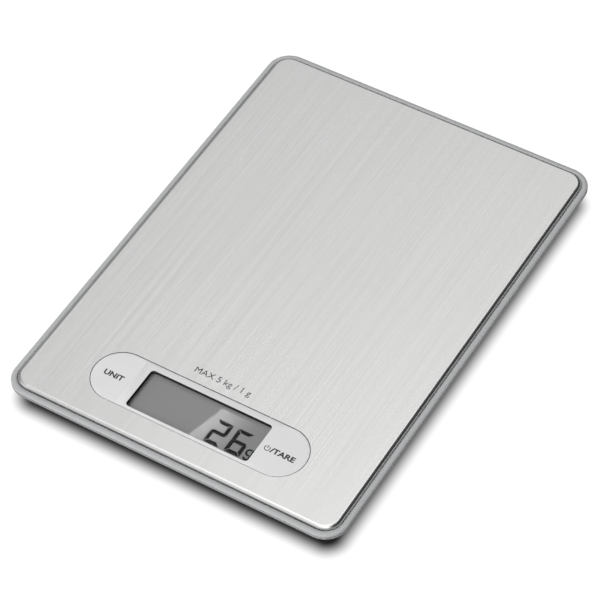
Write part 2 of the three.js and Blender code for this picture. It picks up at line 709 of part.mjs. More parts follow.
function loadCell([sideX, sideY]) {
  const [x, y] = [sideX * footX, sideY * footY];
  const opening = CELL_SIZE - 2 * CELL_FRAME;
  const tongueLength = opening - CELL_TONGUE_GAP;
  const tongueY = y + (sideY * (opening - tongueLength)) / 2;
  const outside = roundedRectangle(CELL_SIZE, CELL_SIZE, CELL_CORNER_RADIUS, x, y);
  const inside = roundedRectangle(opening, opening, CELL_CORNER_RADIUS / 2, x, y);
  const frame = cut(
    prism(outside, cellUnder, cellTop, SMALL_STEPS),
    prism(inside, cellUnder - OVERSHOOT, cellTop + OVERSHOOT, SMALL_STEPS),
  );
  const rootY = tongueY + (sideY * CELL_TONGUE_ROOT) / 2;
  const tongue = rectangle(CELL_TONGUE_WIDTH, tongueLength + CELL_TONGUE_ROOT, x, rootY);
  return joined(frame, prism(tongue, cellUnder, cellTop));
}

function gaugeCoat([sideX, sideY]) {
  const [width, length, height] = GAUGE_COAT;
  const y = sideY * (footY + (CELL_SIZE - 2 * CELL_FRAME) / 2 - length / 2);
  const shape = roundedRectangle(width, length, GAUGE_COAT_CORNER_RADIUS, sideX * footX, y);
  return prism(shape, cellTop + REST_GAP, cellTop + REST_GAP + height, SMALL_STEPS);
}

function footShell([sideX, sideY]) {
  const flangeUnder = floorTop + FIT_GAP + REST_GAP;
  const flangeTop = flangeUnder + FOOT_FLANGE_THICKNESS;
  const bossTop = cellUnder - FOOT_TRAVEL - REST_GAP;
  const padRadius = FOOT_RADIUS - PAD_WALL;
  const profile = [
    [0, PAD_DROP + PAD_SEAT],
    [padRadius, PAD_DROP + PAD_SEAT],
    [padRadius, PAD_DROP],
    [FOOT_RADIUS - FIT_GAP, PAD_DROP],
    [FOOT_RADIUS, PAD_DROP + FIT_GAP],
    [FOOT_RADIUS, flangeUnder],
    [FOOT_FLANGE_RADIUS, flangeUnder],
    [FOOT_FLANGE_RADIUS, flangeTop],
    [FOOT_BOSS_RADIUS, flangeTop],
    [FOOT_BOSS_RADIUS, bossTop],
    [0, bossTop],
  ];
  return turned(profile, LATHE_STEPS.foot, sideX * footX, sideY * footY);
}

function footPad([sideX, sideY]) {
  const radius = FOOT_RADIUS - PAD_WALL - REST_GAP;
  const profile = [
    [0, 0],
    [radius - PAD_WALL, 0],
    [radius, PAD_WALL],
    [radius, PAD_DROP + PAD_SEAT - REST_GAP],
    [0, PAD_DROP + PAD_SEAT - REST_GAP],
  ];
  return turned(profile, LATHE_STEPS.foot, sideX * footX, sideY * footY);
}

// ---------------------------------------------------------------------------------------------------------
// Battery
// ---------------------------------------------------------------------------------------------------------

function coinCell() {
  const cap = coinRadius - 4 * COIN_EDGE;
  const profile = [
    [0, coinUnder],
    [coinRadius - COIN_EDGE, coinUnder],
    [coinRadius, coinUnder + COIN_EDGE],
    [coinRadius, coinTop - 2 * COIN_EDGE],
    [coinRadius - COIN_EDGE, coinTop - COIN_EDGE],
    [cap, coinTop - COIN_EDGE],
    [cap, coinTop],
    [0, coinTop],
  ];
  return turned(profile, LATHE_STEPS.coin, 0, bayY);
}

function positiveTabY() {
  return bayY + coinRadius / 2 + BAY_SIDE_ROOM / 2;
}

// A leaf beside the cell whose end runs out through the bay's right wall.
function positiveContact() {
  const leafX = coinRadius + FIT_GAP;
  const tabY = positiveTabY();
  const points = [
    [leafX + CONTACT_BOW, bayY - coinRadius / 2],
    [leafX, bayY],
    [leafX + BAY_SIDE_ROOM / 2, tabY],
    [recessWidth / 2 + BAY_WALL + CONTACT_TAIL, tabY],
  ];
  return prism(stripShape(points, CONTACT_THICKNESS), coinUnder + FIT_GAP, coinTop);
}

// A leaf over the cell whose end runs out through the bay's front wall.
function negativeContact() {
  const tabZ = coinTop + BAY_HEADROOM / 2;
  const points = [
    [bayY - recessLength / 2 - BAY_WALL - CONTACT_TAIL, tabZ],
    [bayY - coinRadius / 2, tabZ],
    [bayY, coinTop + CONTACT_THICKNESS / 2 + REST_GAP],
    [bayY + coinRadius / 2, tabZ],
  ];
  const geometry = new THREE.ExtrudeGeometry(stripShape(points, CONTACT_THICKNESS), {
    depth: CONTACT_WIDTH,
    bevelEnabled: false,
  });
  geometry.rotateX(Math.PI / 2).rotateZ(Math.PI / 2);
  return solid(geometry.translate(-CONTACT_WIDTH / 2, 0, 0));
}

// A flap with a pin through its back edge; between its bare ends the pin stays below the flap's top.
function batteryDoor() {
  const outline = roundedRectangle(doorWidth, doorLength, DOOR_CORNER_RADIUS, 0, bayY);
  const pinLength = doorWidth + 2 * DOOR_PIN_LENGTH;
  const pin = new THREE.CylinderGeometry(DOOR_PIN_RADIUS, DOOR_PIN_RADIUS, pinLength, DOOR_PIN_SIDES);
  const pinSolid = solid(pin.rotateZ(Math.PI / 2).translate(0, doorPinY, doorPinZ));
  const middle = rectangle(doorWidth - 2 * DOOR_PIN_BARE_END, 4 * DOOR_PIN_RADIUS, 0, doorPinY);
  const flattened = cut(pinSolid, prism(middle, doorTop, doorTop + DOOR_PIN_RADIUS));
  return joined(prism(outline, undersideZ, doorTop), flattened);
}

// ---------------------------------------------------------------------------------------------------------
// Fasteners and leads
// ---------------------------------------------------------------------------------------------------------

// A pan-head screw driven upward from below, with a crossed recess in its head.
function screw({ shank, head, headHeight, length, slot }, seat, [x, y]) {
  const bottom = seat - headHeight;
  const profile = [
    [0, bottom],
    [head * SCREW_FLAT_SHARE, bottom],
    [head, bottom + headHeight * SCREW_SHOULDER_SHARE],
    [head, seat],
    [shank, seat],
    [shank, seat + length - shank],
    [0, seat + length],
  ];
  const span = head * RECESS_SPAN_SHARE;
  const recess = [rectangle(slot, span, x, y), rectangle(span, slot, x, y)].map((bar) =>
    prism(bar, bottom - OVERSHOOT, bottom + headHeight * RECESS_DEPTH_SHARE),
  );
  return cut(turned(profile, LATHE_STEPS.screw, x, y), ...recess);
}

// Where every lead rises from the floor to the back edge of the board.
function landing(joinX, radius) {
  const floorZ = floorTop + radius + LEAD_LIFT;
  const boardZ = boardTop + radius + FIT_GAP;
  return [
    [joinX, boardBack + LEAD_RISE_START, floorZ + LEAD_RISE],
    [joinX, boardBack + LEAD_LAP, boardZ + FIT_GAP],
    [joinX, boardBack - LEAD_LAP, boardZ],
  ];
}

// From a load cell's inner edge along the floor to the back edge of the board.
function cellLead([sideX, sideY]) {
  const isFront = sideY < 0;
  const radius = LEAD_RADIUS.cell;
  const startX = sideX * footX;
  const startY = sideY * (footY - CELL_SIZE / 2 - FIT_GAP);
  const floorZ = floorTop + radius + LEAD_LIFT;
  const joinX = boardX + sideX * (boardWidth / 2 - LEAD_LANDINGS[isFront ? "front" : "back"]);
  const start = [
    [startX, startY, cellUnder],
    [startX, startY - sideY * LEAD_DROP_RUN, floorZ],
  ];
  const frontRun = [[sideX * (footX - LEAD_TURN[0]), boardBack + LEAD_TURN[1], floorZ]];
  const backRun = [
    [joinX, startY - LEAD_CROSSING, floorZ],
    [joinX, 0, floorZ],
    [joinX, boardBack + LEAD_STRAIGHT_END, floorZ],
  ];
  return lead([...start, ...(isFront ? frontRun : backRun), ...landing(joinX, radius)], radius);
}

function batteryLead(side) {
  const radius = LEAD_RADIUS.battery;
  const floorZ = floorTop + radius + LEAD_LIFT;
  const joinX = boardX + side * (boardWidth / 2 - LEAD_LANDINGS.battery);
  const clearance = BAY_WALL + CONTACT_TAIL + radius + FIT_GAP;
  const ends = {
    positive: [recessWidth / 2 + clearance, positiveTabY(), (coinUnder + coinTop) / 2],
    negative: [0, bayY - recessLength / 2 - clearance, coinTop + BAY_HEADROOM / 2],
  };
  const [end, bend] =
    side > 0 ? [ends.positive, POSITIVE_LEAD_BEND] : [ends.negative, NEGATIVE_LEAD_BEND];
  const run = [
    end,
    [end[0] + bend.x, end[1] + bend.y, floorZ + bend.z],
    [side * BATTERY_LEAD_X, bayY - recessLength, floorZ],
    [side * BATTERY_LEAD_X, boardBack + LEAD_STRAIGHT_END, floorZ],
  ];
  return lead([...run, ...landing(joinX, radius)], radius);
}

// ---------------------------------------------------------------------------------------------------------
// Assembly
// ---------------------------------------------------------------------------------------------------------

const finishes = {
  steel: { color: 0xd3d3d2, roughness: 0.35, metalness: 1 },
  housing: { color: 0xc4c6c8, roughness: 0.55, metalness: 0 },
  film: { color: 0xdadada, roughness: 0.5, metalness: 0 },
  lens: { color: 0xf2f5f6, roughness: 0.05, metalness: 0, transparent: true, opacity: 0.25 },
  adhesive: { color: 0xe9e3cf, roughness: 0.8, metalness: 0 },
  glass: { color: 0x8f9490, roughness: 0.1, metalness: 0 },
  polariser: { color: 0x7d827e, roughness: 0.2, metalness: 0 },
  reflector: { color: 0xb9bdb8, roughness: 0.3, metalness: 0.4 },
  moulding: { color: 0xf0efe9, roughness: 0.6, metalness: 0 },
  strip: { color: 0x4a4d52, roughness: 0.9, metalness: 0 },
  board: { color: 0x1f6a3a, roughness: 0.45, metalness: 0 },
  resin: { color: 0x17181a, roughness: 0.4, metalness: 0 },
  key: { color: 0xe8e8e6, roughness: 0.6, metalness: 0 },
  plated: { color: 0xc9c5b8, roughness: 0.25, metalness: 1 },
  rubber: { color: 0x3b3d40, roughness: 0.9, metalness: 0 },
  screw: { color: 0x9a9ca0, roughness: 0.3, metalness: 1 },
  coat: { color: 0xe4e2da, roughness: 0.5, metalness: 0 },
  redLead: { color: 0xb3211d, roughness: 0.5, metalness: 0 },
  blackLead: { color: 0x1b1b1d, roughness: 0.5, metalness: 0 },
  greyLead: { color: 0x8d9094, roughness: 0.5, metalness: 0 },
};
const materials = Object.fromEntries(
  Object.entries(finishes).map(([name, finish]) => [name, new THREE.MeshStandardMaterial(finish)]),
);

const scale = new THREE.Group();
scale.name = "kitchen_scale";

function place(group, name, made, finish) {
  const mesh = new THREE.Mesh(geometryOf(made), materials[finish]);
  mesh.name = name;
  group.add(mesh);
}

place(scale, "steel_platform", steelPlatform(), "steel");
place(scale, "platform_adhesive", platformAdhesive(), "adhesive");
place(scale, "top_housing", topHousing(), "housing");
place(scale, "bottom_housing", bottomHousing(), "housing");
place(scale, "overlay_film", overlayFilm(), "film");
place(scale, "display_lens", displayLens(), "lens");

const display = new THREE.Group();
scale.add(display);
const polariserInset = [POLARISER_INSET, POLARISER_INSET];
const reflectorInset = [POLARISER_INSET, STRIP_WIDTH + 3 * FIT_GAP];
const reflectorTop = glassUnder - REST_GAP;
const frontPolariser = displaySheet(polariserInset, polariserTop - POLARISER_THICKNESS, polariserTop);
const rearReflector = displaySheet(reflectorInset, reflectorTop - POLARISER_THICKNESS, reflectorTop);
place(display, "lcd_front_polariser", frontPolariser, "polariser");
place(display, "lcd_cell", displaySheet([0, 0], glassUnder, glassTop), "glass");
place(display, "lcd_reflector", rearReflector, "reflector");
place(display, "lcd_holder", displayHolder(), "moulding");
place(display, "conductive_strip_front", conductiveStrip(-1), "strip");
place(display, "conductive_strip_back", conductiveStrip(1), "strip");

const electronics = new THREE.Group();
scale.add(electronics);
place(electronics, "main_board", mainBoard(), "board");
place(electronics, "controller_blob", controllerBlob(), "resin");
for (const name of Object.keys(keyX)) {
  place(electronics, `${name}_switch_body`, switchBody(name), "resin");
  place(electronics, `${name}_switch_plunger`, switchPlunger(name), "moulding");
  place(electronics, `${name}_key`, keyPad(name), "key");
}

const feet = new THREE.Group();
scale.add(feet);
for (const [name, corner] of Object.entries(corners)) {
  place(feet, `load_cell_${name}`, loadCell(corner), "plated");
  place(feet, `gauge_coat_${name}`, gaugeCoat(corner), "coat");
  place(feet, `foot_shell_${name}`, footShell(corner), "housing");
  place(feet, `foot_pad_${name}`, footPad(corner), "rubber");
  place(feet, `load_cell_lead_${name}`, cellLead(corner), "greyLead");
}

const battery = new THREE.Group();
scale.add(battery);
place(battery, "coin_cell", coinCell(), "plated");
place(battery, "battery_positive_contact", positiveContact(), "plated");
place(battery, "battery_negative_contact", negativeContact(), "plated");
place(battery, "battery_door", batteryDoor(), "housing");
place(battery, "battery_lead_positive", batteryLead(1), "redLead");
place(battery, "battery_lead_negative", batteryLead(-1), "blackLead");

const fasteners = new THREE.Group();
scale.add(fasteners);
for (const [name, point] of Object.entries(housingScrews)) {
  place(fasteners, `housing_screw_${name}`, screw(HOUSING_SCREW, screwSeat, point), "screw");
}
for (const [name, point] of Object.entries(boardScrews)) {
  place(fasteners, `board_screw_${name}`, screw(BOARD_SCREW, boardUnder - REST_GAP, point), "screw");
}

export default scale;
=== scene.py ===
# %% [markdown]
# # A flat kitchen scale with a brushed steel platform
#
# The scale is a low plastic housing with a steel platform glued on top. A printed film at the front
# covers a glass display and two press keys, and four rubber feet stand under the load cells.
# Each piece that shows is modelled on its own, at the size and place that the fixed frame gives, so
# that the keys, the feet and the battery door can move. The inner pieces keep the frame's own shapes
# and get a finish.

import json
import math
from contextlib import contextmanager

import bmesh
import bpy
from mathutils import Matrix, Vector
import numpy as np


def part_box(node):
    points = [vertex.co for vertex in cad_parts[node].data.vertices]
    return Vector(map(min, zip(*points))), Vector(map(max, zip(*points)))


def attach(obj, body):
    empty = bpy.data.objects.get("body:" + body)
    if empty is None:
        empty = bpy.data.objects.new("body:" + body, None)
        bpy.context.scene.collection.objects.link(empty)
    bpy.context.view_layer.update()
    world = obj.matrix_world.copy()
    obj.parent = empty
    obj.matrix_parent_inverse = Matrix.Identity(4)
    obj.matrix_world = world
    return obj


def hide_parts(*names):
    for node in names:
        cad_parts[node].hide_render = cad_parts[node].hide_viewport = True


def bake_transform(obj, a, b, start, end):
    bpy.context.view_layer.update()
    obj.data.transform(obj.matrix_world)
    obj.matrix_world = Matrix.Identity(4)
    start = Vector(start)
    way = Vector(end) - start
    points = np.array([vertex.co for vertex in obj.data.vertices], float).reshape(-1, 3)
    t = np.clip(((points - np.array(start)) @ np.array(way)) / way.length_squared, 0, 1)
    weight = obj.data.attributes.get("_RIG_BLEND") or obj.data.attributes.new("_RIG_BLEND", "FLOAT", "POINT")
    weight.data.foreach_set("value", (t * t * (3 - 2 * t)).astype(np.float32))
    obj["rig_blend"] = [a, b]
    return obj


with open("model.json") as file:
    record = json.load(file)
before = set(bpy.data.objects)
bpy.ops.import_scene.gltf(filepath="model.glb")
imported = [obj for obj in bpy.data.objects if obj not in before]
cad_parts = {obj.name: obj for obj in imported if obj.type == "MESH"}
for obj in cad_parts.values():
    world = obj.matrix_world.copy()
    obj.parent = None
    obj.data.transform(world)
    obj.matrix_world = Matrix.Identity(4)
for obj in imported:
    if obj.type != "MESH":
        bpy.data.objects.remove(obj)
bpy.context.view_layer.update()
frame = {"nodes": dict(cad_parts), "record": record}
MM = 0.001

# %% [markdown]
# ## The camera
#
# A long lens from over a metre away keeps the long sides of the scale nearly parallel. The camera could
# be aimed with a Track To constraint, but a constraint can't hold the small roll, so its three axes are
# worked out from the azimuth, the elevation and the roll.

# %% Place the camera
AIM = Vector((4.67, -12.39, 15.0)) * MM
AZIMUTH, ELEVATION, ROLL = (math.radians(angle) for angle in (34.316, 50.672, -3.791))
CAMERA_DISTANCE = 1.1419
LENS_MM = 164.09

toward_camera = Vector((
    math.sin(AZIMUTH) * math.cos(ELEVATION),
    -math.cos(AZIMUTH) * math.cos(ELEVATION),
    math.sin(ELEVATION),
))
level_right = Vector((math.cos(AZIMUTH), math.sin(AZIMUTH), 0))
upward = toward_camera.cross(level_right)
camera_right = level_right * math.cos(ROLL) + upward * math.sin(ROLL)
camera_up = upward * math.cos(ROLL) - level_right * math.sin(ROLL)
camera_place = AIM + toward_camera * CAMERA_DISTANCE
camera_turn = Matrix((camera_right, camera_up, toward_camera)).transposed()

bpy.ops.object.select_all(action="DESELECT")
bpy.ops.object.camera_add(location=camera_place, rotation=camera_turn.to_euler())
camera = bpy.context.object
camera.name = "studio_camera"
camera.data.lens = LENS_MM
camera.data.sensor_width = 36
camera.data.clip_end = 50
bpy.context.scene.camera = camera
print("Camera at", [round(value, 3) for value in camera_place])

# %% [markdown]
# ## Shader maths that reads like sums
#
# A finish is a small network of nodes. Wiring each Math node by hand hides the idea, so one class wraps
# an output socket and lets it be added and multiplied, and one method makes every other node: it takes
# the node's type, its settings, and what goes into its sockets.

# %% Wrap sockets and node trees
class Wire:
    """An output socket that can stand in a sum."""

    def __init__(self, nodes, socket):
        self.nodes = nodes
        self.socket = socket

    def maths(self, operation, first, second):
        return self.nodes.maths(operation, first, second)

    def __add__(self, other):
        return self.maths("ADD", self, other)

    def __radd__(self, other):
        return self.maths("ADD", other, self)

    def __sub__(self, other):
        return self.maths("SUBTRACT", self, other)

    def __rsub__(self, other):
        return self.maths("SUBTRACT", other, self)

    def __mul__(self, other):
        return self.maths("MULTIPLY", self, other)

    def __rmul__(self, other):
        return self.maths("MULTIPLY", other, self)

    def __lt__(self, other):
        return self.maths("LESS_THAN", self, other)

    def __gt__(self, other):
        return self.maths("GREATER_THAN", self, other)

    def __abs__(self):
        return self.maths("ABSOLUTE", self, 0)


class Nodes:
    """A node tree that is filled one call at a time."""

    def __init__(self, tree):
        self.tree = tree

    def node(self, kind, settings=None, inputs=None, out=0):
        made = self.tree.nodes.new(kind)
        for name, value in (settings or {}).items():
            setattr(made, name, value)
        for name, value in (inputs or {}).items():
            self.plug(made.inputs[name], value)
        return Wire(self, made.outputs[out])

    def plug(self, socket, value):
        if isinstance(value, Wire):
            self.tree.links.new(value.socket, socket)
        else:
            socket.default_value = value

    def maths(self, operation, first, second):
        return self.node("ShaderNodeMath", {"operation": operation}, {0: first, 1: second})

    def along(self, vector, axis):
        return self.node("ShaderNodeSeparateXYZ", inputs={0: vector}, out="XYZ".index(axis))

    def fade(self, value, start, end, low=0.0, high=1.0):
        inputs = {"Value": value, "From Min": start, "From Max": end, "To Min": low, "To Max": high}
        return self.node("ShaderNodeMapRange", {"interpolation_type": "SMOOTHSTEP"}, inputs)


class Finish(Nodes):
    """A material built round one Principled shader, on Object coordinates."""

    def __init__(self, name, **surface):
        self.material = bpy.data.materials.new(name)
        self.material.use_nodes = True
        super().__init__(self.material.node_tree)
        self.surface = self.tree.nodes["Principled BSDF"]
        for socket, value in surface.items():
            self.surface.inputs[socket.replace("_", " ")].default_value = value
        self.spot = self.node("ShaderNodeTexCoord", out="Object")

    def grain(self, stretch, detail=2.0, roughness=0.5):
        """Noise with its own number of features to the metre along each axis."""
        stretch = stretch if isinstance(stretch, tuple) else (stretch,) * 3
        vector = self.node("ShaderNodeMapping", inputs={"Vector": self.spot, "Scale": stretch})
        inputs = {"Vector": vector, "Scale": 1.0, "Detail": detail, "Roughness": roughness}
        return self.node("ShaderNodeTexNoise", inputs=inputs)

    def tint(self, share, dark, light):
        """A colour between two, by a share from 0 to 1."""
        inputs = {0: share, 6: colour(dark), 7: colour(light)}
        return self.node("ShaderNodeMix", {"data_type": "RGBA"}, inputs, 2)

    def feed(self, **wires):
        for socket, wire in wires.items():
            self.plug(self.surface.inputs[socket.replace("_", " ")], wire)
        return self

    def relief(self, height, strength, depth):
        """Raise and lower the surface by up to a depth in metres."""
        inputs = {"Strength": strength, "Distance": depth, "Height": height}
        return self.feed(Normal=self.node("ShaderNodeBump", inputs=inputs))

    def show(self, shader):
        """Put another shader on the surface."""
        self.plug(self.tree.nodes["Material Output"].inputs["Surface"], shader)


def colour(value):
    """A grey level, three channels or a wire, as a colour socket takes it."""
    if isinstance(value, Wire):
        return value
    channels = value if isinstance(value, tuple) else (value,) * 3
    return (*channels, 1.0)


def scaled(shade, share):
    return tuple(share * channel for channel in shade)


print("Shader helpers are ready")

# %% [markdown]
# ## The finish of the platform
#
# The platform is thin steel sheet, ground along its length by a belt. Its scratches are well under a
# millimetre wide and centimetres long, so the noise is stretched: thousands of features to the metre
# across the plate and only a few along it. Broader bands and slow clouds are mixed in. The scratches
# change the colour and the roughness a little, and a faint bump breaks up the reflections.

# %% Brushed steel
SCRATCHES = (2800, 9, 2800)
BANDS = (420, 4, 420)
CLOUDS = 14
STEEL_DARK = (0.645, 0.645, 0.64)
STEEL_LIGHT = (0.72, 0.72, 0.715)


def brushed_steel():
    made = Finish("brushed_steel", Metallic=1.0, IOR=2.5)
    scratches = made.grain(SCRATCHES, detail=3, roughness=0.7)
    bands = made.grain(BANDS, detail=2)
    clouds = made.grain(CLOUDS, detail=2)
    share = made.fade(scratches * 0.68 + bands * 0.2 + clouds * 0.12, 0.36, 0.64)
    made.feed(Base_Color=made.tint(share, STEEL_DARK, STEEL_LIGHT))
    made.feed(Roughness=made.fade(scratches + clouds * 0.4, 0.4, 1.0, 0.2, 0.28))
    return made.relief(scratches, 0.03, 0.01 * MM).material


def plated_steel(name, shade, roughness):
    """Smooth plated sheet or wire, with faint rolling marks and handling dulled in places."""
    made = Finish(name, Metallic=1.0)
    marks = made.grain((900, 120, 900), detail=3)
    smudges = made.grain(90, detail=2)
    made.feed(Base_Color=made.tint(made.fade(smudges, 0.35, 0.65), scaled(shade, 0.82), shade))
    made.feed(Roughness=made.fade(marks * 0.6 + smudges * 0.4, 0.3, 0.7, roughness, roughness + 0.14))
    return made.relief(marks, 0.1, 0.02 * MM).material


# %% [markdown]
# ## The finish of the mouldings
#
# The housing is a light grey plastic from a spark-eroded mould, so its surface is covered in pits about
# a quarter of a millimetre across. Three sizes of noise give the pits, a slow change of shade where the
# plastic flowed, and the rub of handling. The raised part under the panel and the display's well get
# painted shade: a box mask blackens the housing there, above a height that keeps the underside grey, so
# the well's walls stand in for the shadow band inside the display window.

# %% Moulded plastics
panel_low, panel_high = (Vector(corner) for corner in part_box("overlay_film"))
panel_middle = (panel_low + panel_high) / 2
WELL_MARGIN = 0.5 * MM
WELL_BOTTOM = 11 * MM
# Near black, painted as shade on the well's walls for the dark band inside the display window.
WELL_SHADE_BLACK = 0.012


def painted_well_shade(made):
    """1 on the raised part under the panel and in the display's well, where the housing gets painted shade,
    and 0 everywhere else.
    """
    half = (panel_high - panel_low) / 2
    across = abs(made.along(made.spot, "X") - panel_middle.x) < half.x + WELL_MARGIN
    along = abs(made.along(made.spot, "Y") - panel_middle.y) < half.y + WELL_MARGIN
    return across * along * (made.along(made.spot, "Z") > WELL_BOTTOM)


def moulded_plastic(name, shade, roughness, spread=0.06, pitting=0.16, well=False):
    made = Finish(name, IOR=1.5)
    pits = made.grain(4200, detail=2, roughness=0.6)
    flow = made.grain((38, 38, 120), detail=2)
    rub = made.grain(420, detail=3)
    share = made.fade(pits * 0.35 + flow * 0.4 + rub * 0.25, 0.3, 0.7)
    base = made.tint(share, scaled(shade, 1 - spread), scaled(shade, 1 + spread))
    if well:
        # Painted shade: the housing is blackened in the display's well and under the panel.
        base = made.tint(painted_well_shade(made), base, WELL_SHADE_BLACK)
    made.feed(Base_Color=base)
    made.feed(Roughness=made.fade(pits * 0.5 + rub * 0.5, 0.3, 0.7, roughness, roughness + 0.12))
    return made.relief(pits, pitting, 0.03 * MM).material


# %% [markdown]
# ## The finishes at the front panel
#
# The film is a satin polycarbonate sheet printed on its back. It is flat and even, so only a very fine
# grain and a slow waviness show. The lens is clear and coated against reflections: a Transparent shader
# carries what is behind it, and a Glossy shader, mixed in by a small share of the Fresnel reflection,
# adds a trace of the studio. The polariser behind it is smooth, and is what mirrors the studio.

# %% Film, lens and display
def satin_film():
    made = Finish("satin_film", IOR=1.5)
    grain = made.grain(6500, detail=2)
    wave = made.grain(60, detail=1)
    share = made.fade(grain * 0.5 + wave * 0.5, 0.3, 0.7)
    made.feed(Base_Color=made.tint(share, (0.665, 0.665, 0.665), (0.71, 0.71, 0.71)))
    made.feed(Roughness=made.fade(grain, 0.3, 0.7, 0.34, 0.46))
    return made.relief(grain * 0.7 + wave * 0.3, 0.1, 0.01 * MM).material


COATING = 0.08
STRAIGHT_ON = 0.04


def clear_lens():
    """What the coating leaves of the Fresnel reflection, over what lies behind the lens."""
    made = Finish("clear_lens")
    haze = made.grain(500, detail=2)
    facing = made.node("ShaderNodeLayerWeight", inputs={"Blend": 0.5}, out="Facing")
    fresnel = COATING * (STRAIGHT_ON + (1 - STRAIGHT_ON) * made.maths("POWER", facing, 5))
    through = made.node("ShaderNodeBsdfTransparent", inputs={"Color": colour(0.97)})
    mirror = made.node("ShaderNodeBsdfAnisotropic", inputs={"Color": colour(1.0), "Roughness": 0.02})
    share = fresnel * made.fade(haze, 0.2, 0.8, 0.94, 1.0)
    made.show(made.node("ShaderNodeMixShader", inputs={0: share, 1: through, 2: mirror}))
    return made.material


def display_film(name, shade, roughness, spread):
    """The glass, the polariser or the reflector of the display: even, with a trace of mottle."""
    made = Finish(name, IOR=1.5)
    mottle = made.grain(900, detail=3)
    slow = made.grain(45, detail=1)
    share = made.fade(mottle * 0.6 + slow * 0.4, 0.3, 0.7)
    made.feed(Base_Color=made.tint(share, scaled(shade, 1 - spread), shade))
    made.feed(Roughness=made.fade(mottle, 0.3, 0.7, roughness, 1.3 * roughness))
    return made.relief(mottle, 0.02, 0.002 * MM).material


def printed_ink(name, shade, gloss=0.5):
    """Ink laid on by a screen: dense, with a faint weave in its edge and its gloss."""
    made = Finish(name, IOR=1.45, Specular_IOR_Level=gloss)
    weave = made.grain(9000, detail=1)
    made.feed(Base_Color=made.tint(made.fade(weave, 0.3, 0.7), 0.8 * shade, 1.15 * shade))
    made.feed(Roughness=made.fade(weave, 0.3, 0.7, 0.4, 0.55))
    return made.relief(weave, 0.08, 0.005 * MM).material


# %% [markdown]
# ## The finishes of the inner pieces
#
# The inner pieces show only when the scale is opened or looked at from below, but each gets the marks of
# how it was made: fibres under the solder mask, stripes in the conductive rubber, grit in the foot
# rubber and lumps where resin or glue has set.

# %% Rubber, board, resin and wire
def ground_rubber(name, shade):
    made = Finish(name, IOR=1.52)
    bloom = made.grain(160, detail=3)
    grit = made.grain(3200, detail=2)
    share = made.fade(bloom * 0.6 + grit * 0.4, 0.3, 0.7)
    made.feed(Base_Color=made.tint(share, 0.75 * shade, 1.5 * shade))
    made.feed(Roughness=made.fade(grit, 0.3, 0.7, 0.62, 0.82))
    return made.relief(grit, 0.3, 0.04 * MM).material


def striped_rubber():
    made = Finish("conductive_rubber", IOR=1.5)
    wave = {"Vector": made.spot, "Scale": 2600.0}
    stripes = made.node("ShaderNodeTexWave", {"bands_direction": "X"}, wave, "Fac")
    grit = made.grain(2500, detail=2)
    share = made.fade(stripes * 0.8 + grit * 0.2, 0.3, 0.7)
    made.feed(Base_Color=made.tint(share, 0.02, 0.11))
    made.feed(Roughness=made.fade(grit, 0.3, 0.7, 0.55, 0.7))
    return made.relief(stripes, 0.2, 0.02 * MM).material


def solder_mask():
    made = Finish("circuit_board", IOR=1.5)
    across = made.grain((220, 2600, 400), detail=2)
    along = made.grain((2600, 220, 400), detail=2)
    tracks = made.fade(made.grain((140, 900, 200), detail=1), 0.5, 0.54)
    share = made.fade((across + along) * 0.35 + tracks * 0.3, 0.25, 0.75)
    made.feed(Base_Color=made.tint(share, (0.012, 0.10, 0.035), (0.03, 0.20, 0.07)))
    made.feed(Roughness=made.fade(across, 0.3, 0.7, 0.28, 0.42))
    return made.relief(tracks * 0.6 + (across + along) * 0.2, 0.25, 0.03 * MM).material


def cured_coat(name, shade, roughness):
    """Resin, glue or a coating that set where it was laid, with slow lumps and fine dust."""
    made = Finish(name, IOR=1.5)
    lumps = made.grain(350, detail=2)
    dust = made.grain(5000, detail=1)
    share = made.fade(lumps * 0.7 + dust * 0.3, 0.3, 0.7)
    made.feed(Base_Color=made.tint(share, scaled(shade, 0.78), shade))
    made.feed(Roughness=made.fade(dust, 0.3, 0.7, roughness, roughness + 0.15))
    return made.relief(lumps * 0.8 + dust * 0.2, 0.3, 0.06 * MM).material


HOUSING_GREY = (0.41, 0.415, 0.42)
HOUSING_SURFACE = {"roughness": 0.2, "spread": 0.025, "pitting": 0.02, "well": True}
FINISHES = {
    "steel": brushed_steel(),
    "housing": moulded_plastic("grey_moulding", HOUSING_GREY, **HOUSING_SURFACE),
    "film": satin_film(),
    "lens": clear_lens(),
    "adhesive": cured_coat("clear_adhesive", (0.78, 0.75, 0.62), roughness=0.5),
    "display_glass": display_film("display_glass", (0.24, 0.25, 0.24), roughness=0.12, spread=0.1),
    "polariser": display_film("front_polariser", (0.25, 0.255, 0.25), roughness=0.012, spread=0.05),
    "reflector": display_film("rear_reflector", (0.48, 0.5, 0.48), roughness=0.35, spread=0.12),
    "white_moulding": moulded_plastic("white_moulding", (0.8, 0.8, 0.78), roughness=0.4),
    "conductive_rubber": striped_rubber(),
    "circuit_board": solder_mask(),
    "black_resin": cured_coat("black_resin", (0.025, 0.025, 0.028), roughness=0.3),
    "plated_steel": plated_steel("plated_contact", (0.72, 0.71, 0.68), roughness=0.22),
    "cell_steel": plated_steel("cell_steel", (0.6, 0.6, 0.6), roughness=0.3),
    "gauge_coating": cured_coat("gauge_coating", (0.85, 0.84, 0.8), roughness=0.55),
    "foot_rubber": ground_rubber("foot_rubber", 0.09),
    "screw_steel": plated_steel("screw_steel", (0.62, 0.61, 0.6), roughness=0.26),
    "red_insulation": moulded_plastic("red_insulation", (0.5, 0.03, 0.03), roughness=0.45),
    "black_insulation": moulded_plastic("black_insulation", (0.03, 0.03, 0.03), roughness=0.45),
    "grey_insulation": moulded_plastic("grey_insulation", (0.4, 0.4, 0.41), roughness=0.45),
}
SLOT_OF = {row["node"]: row["material_slot"] for row in frame["record"]["subparts"]}
print(len(FINISHES), "finishes made")

# %% Give every node of the frame its finish
for node, slot in SLOT_OF.items():
    for holder in frame["nodes"][node].material_slots:
        holder.link = "OBJECT"
        holder.material = FINISHES[slot]
print(len(SLOT_OF), "nodes finished")

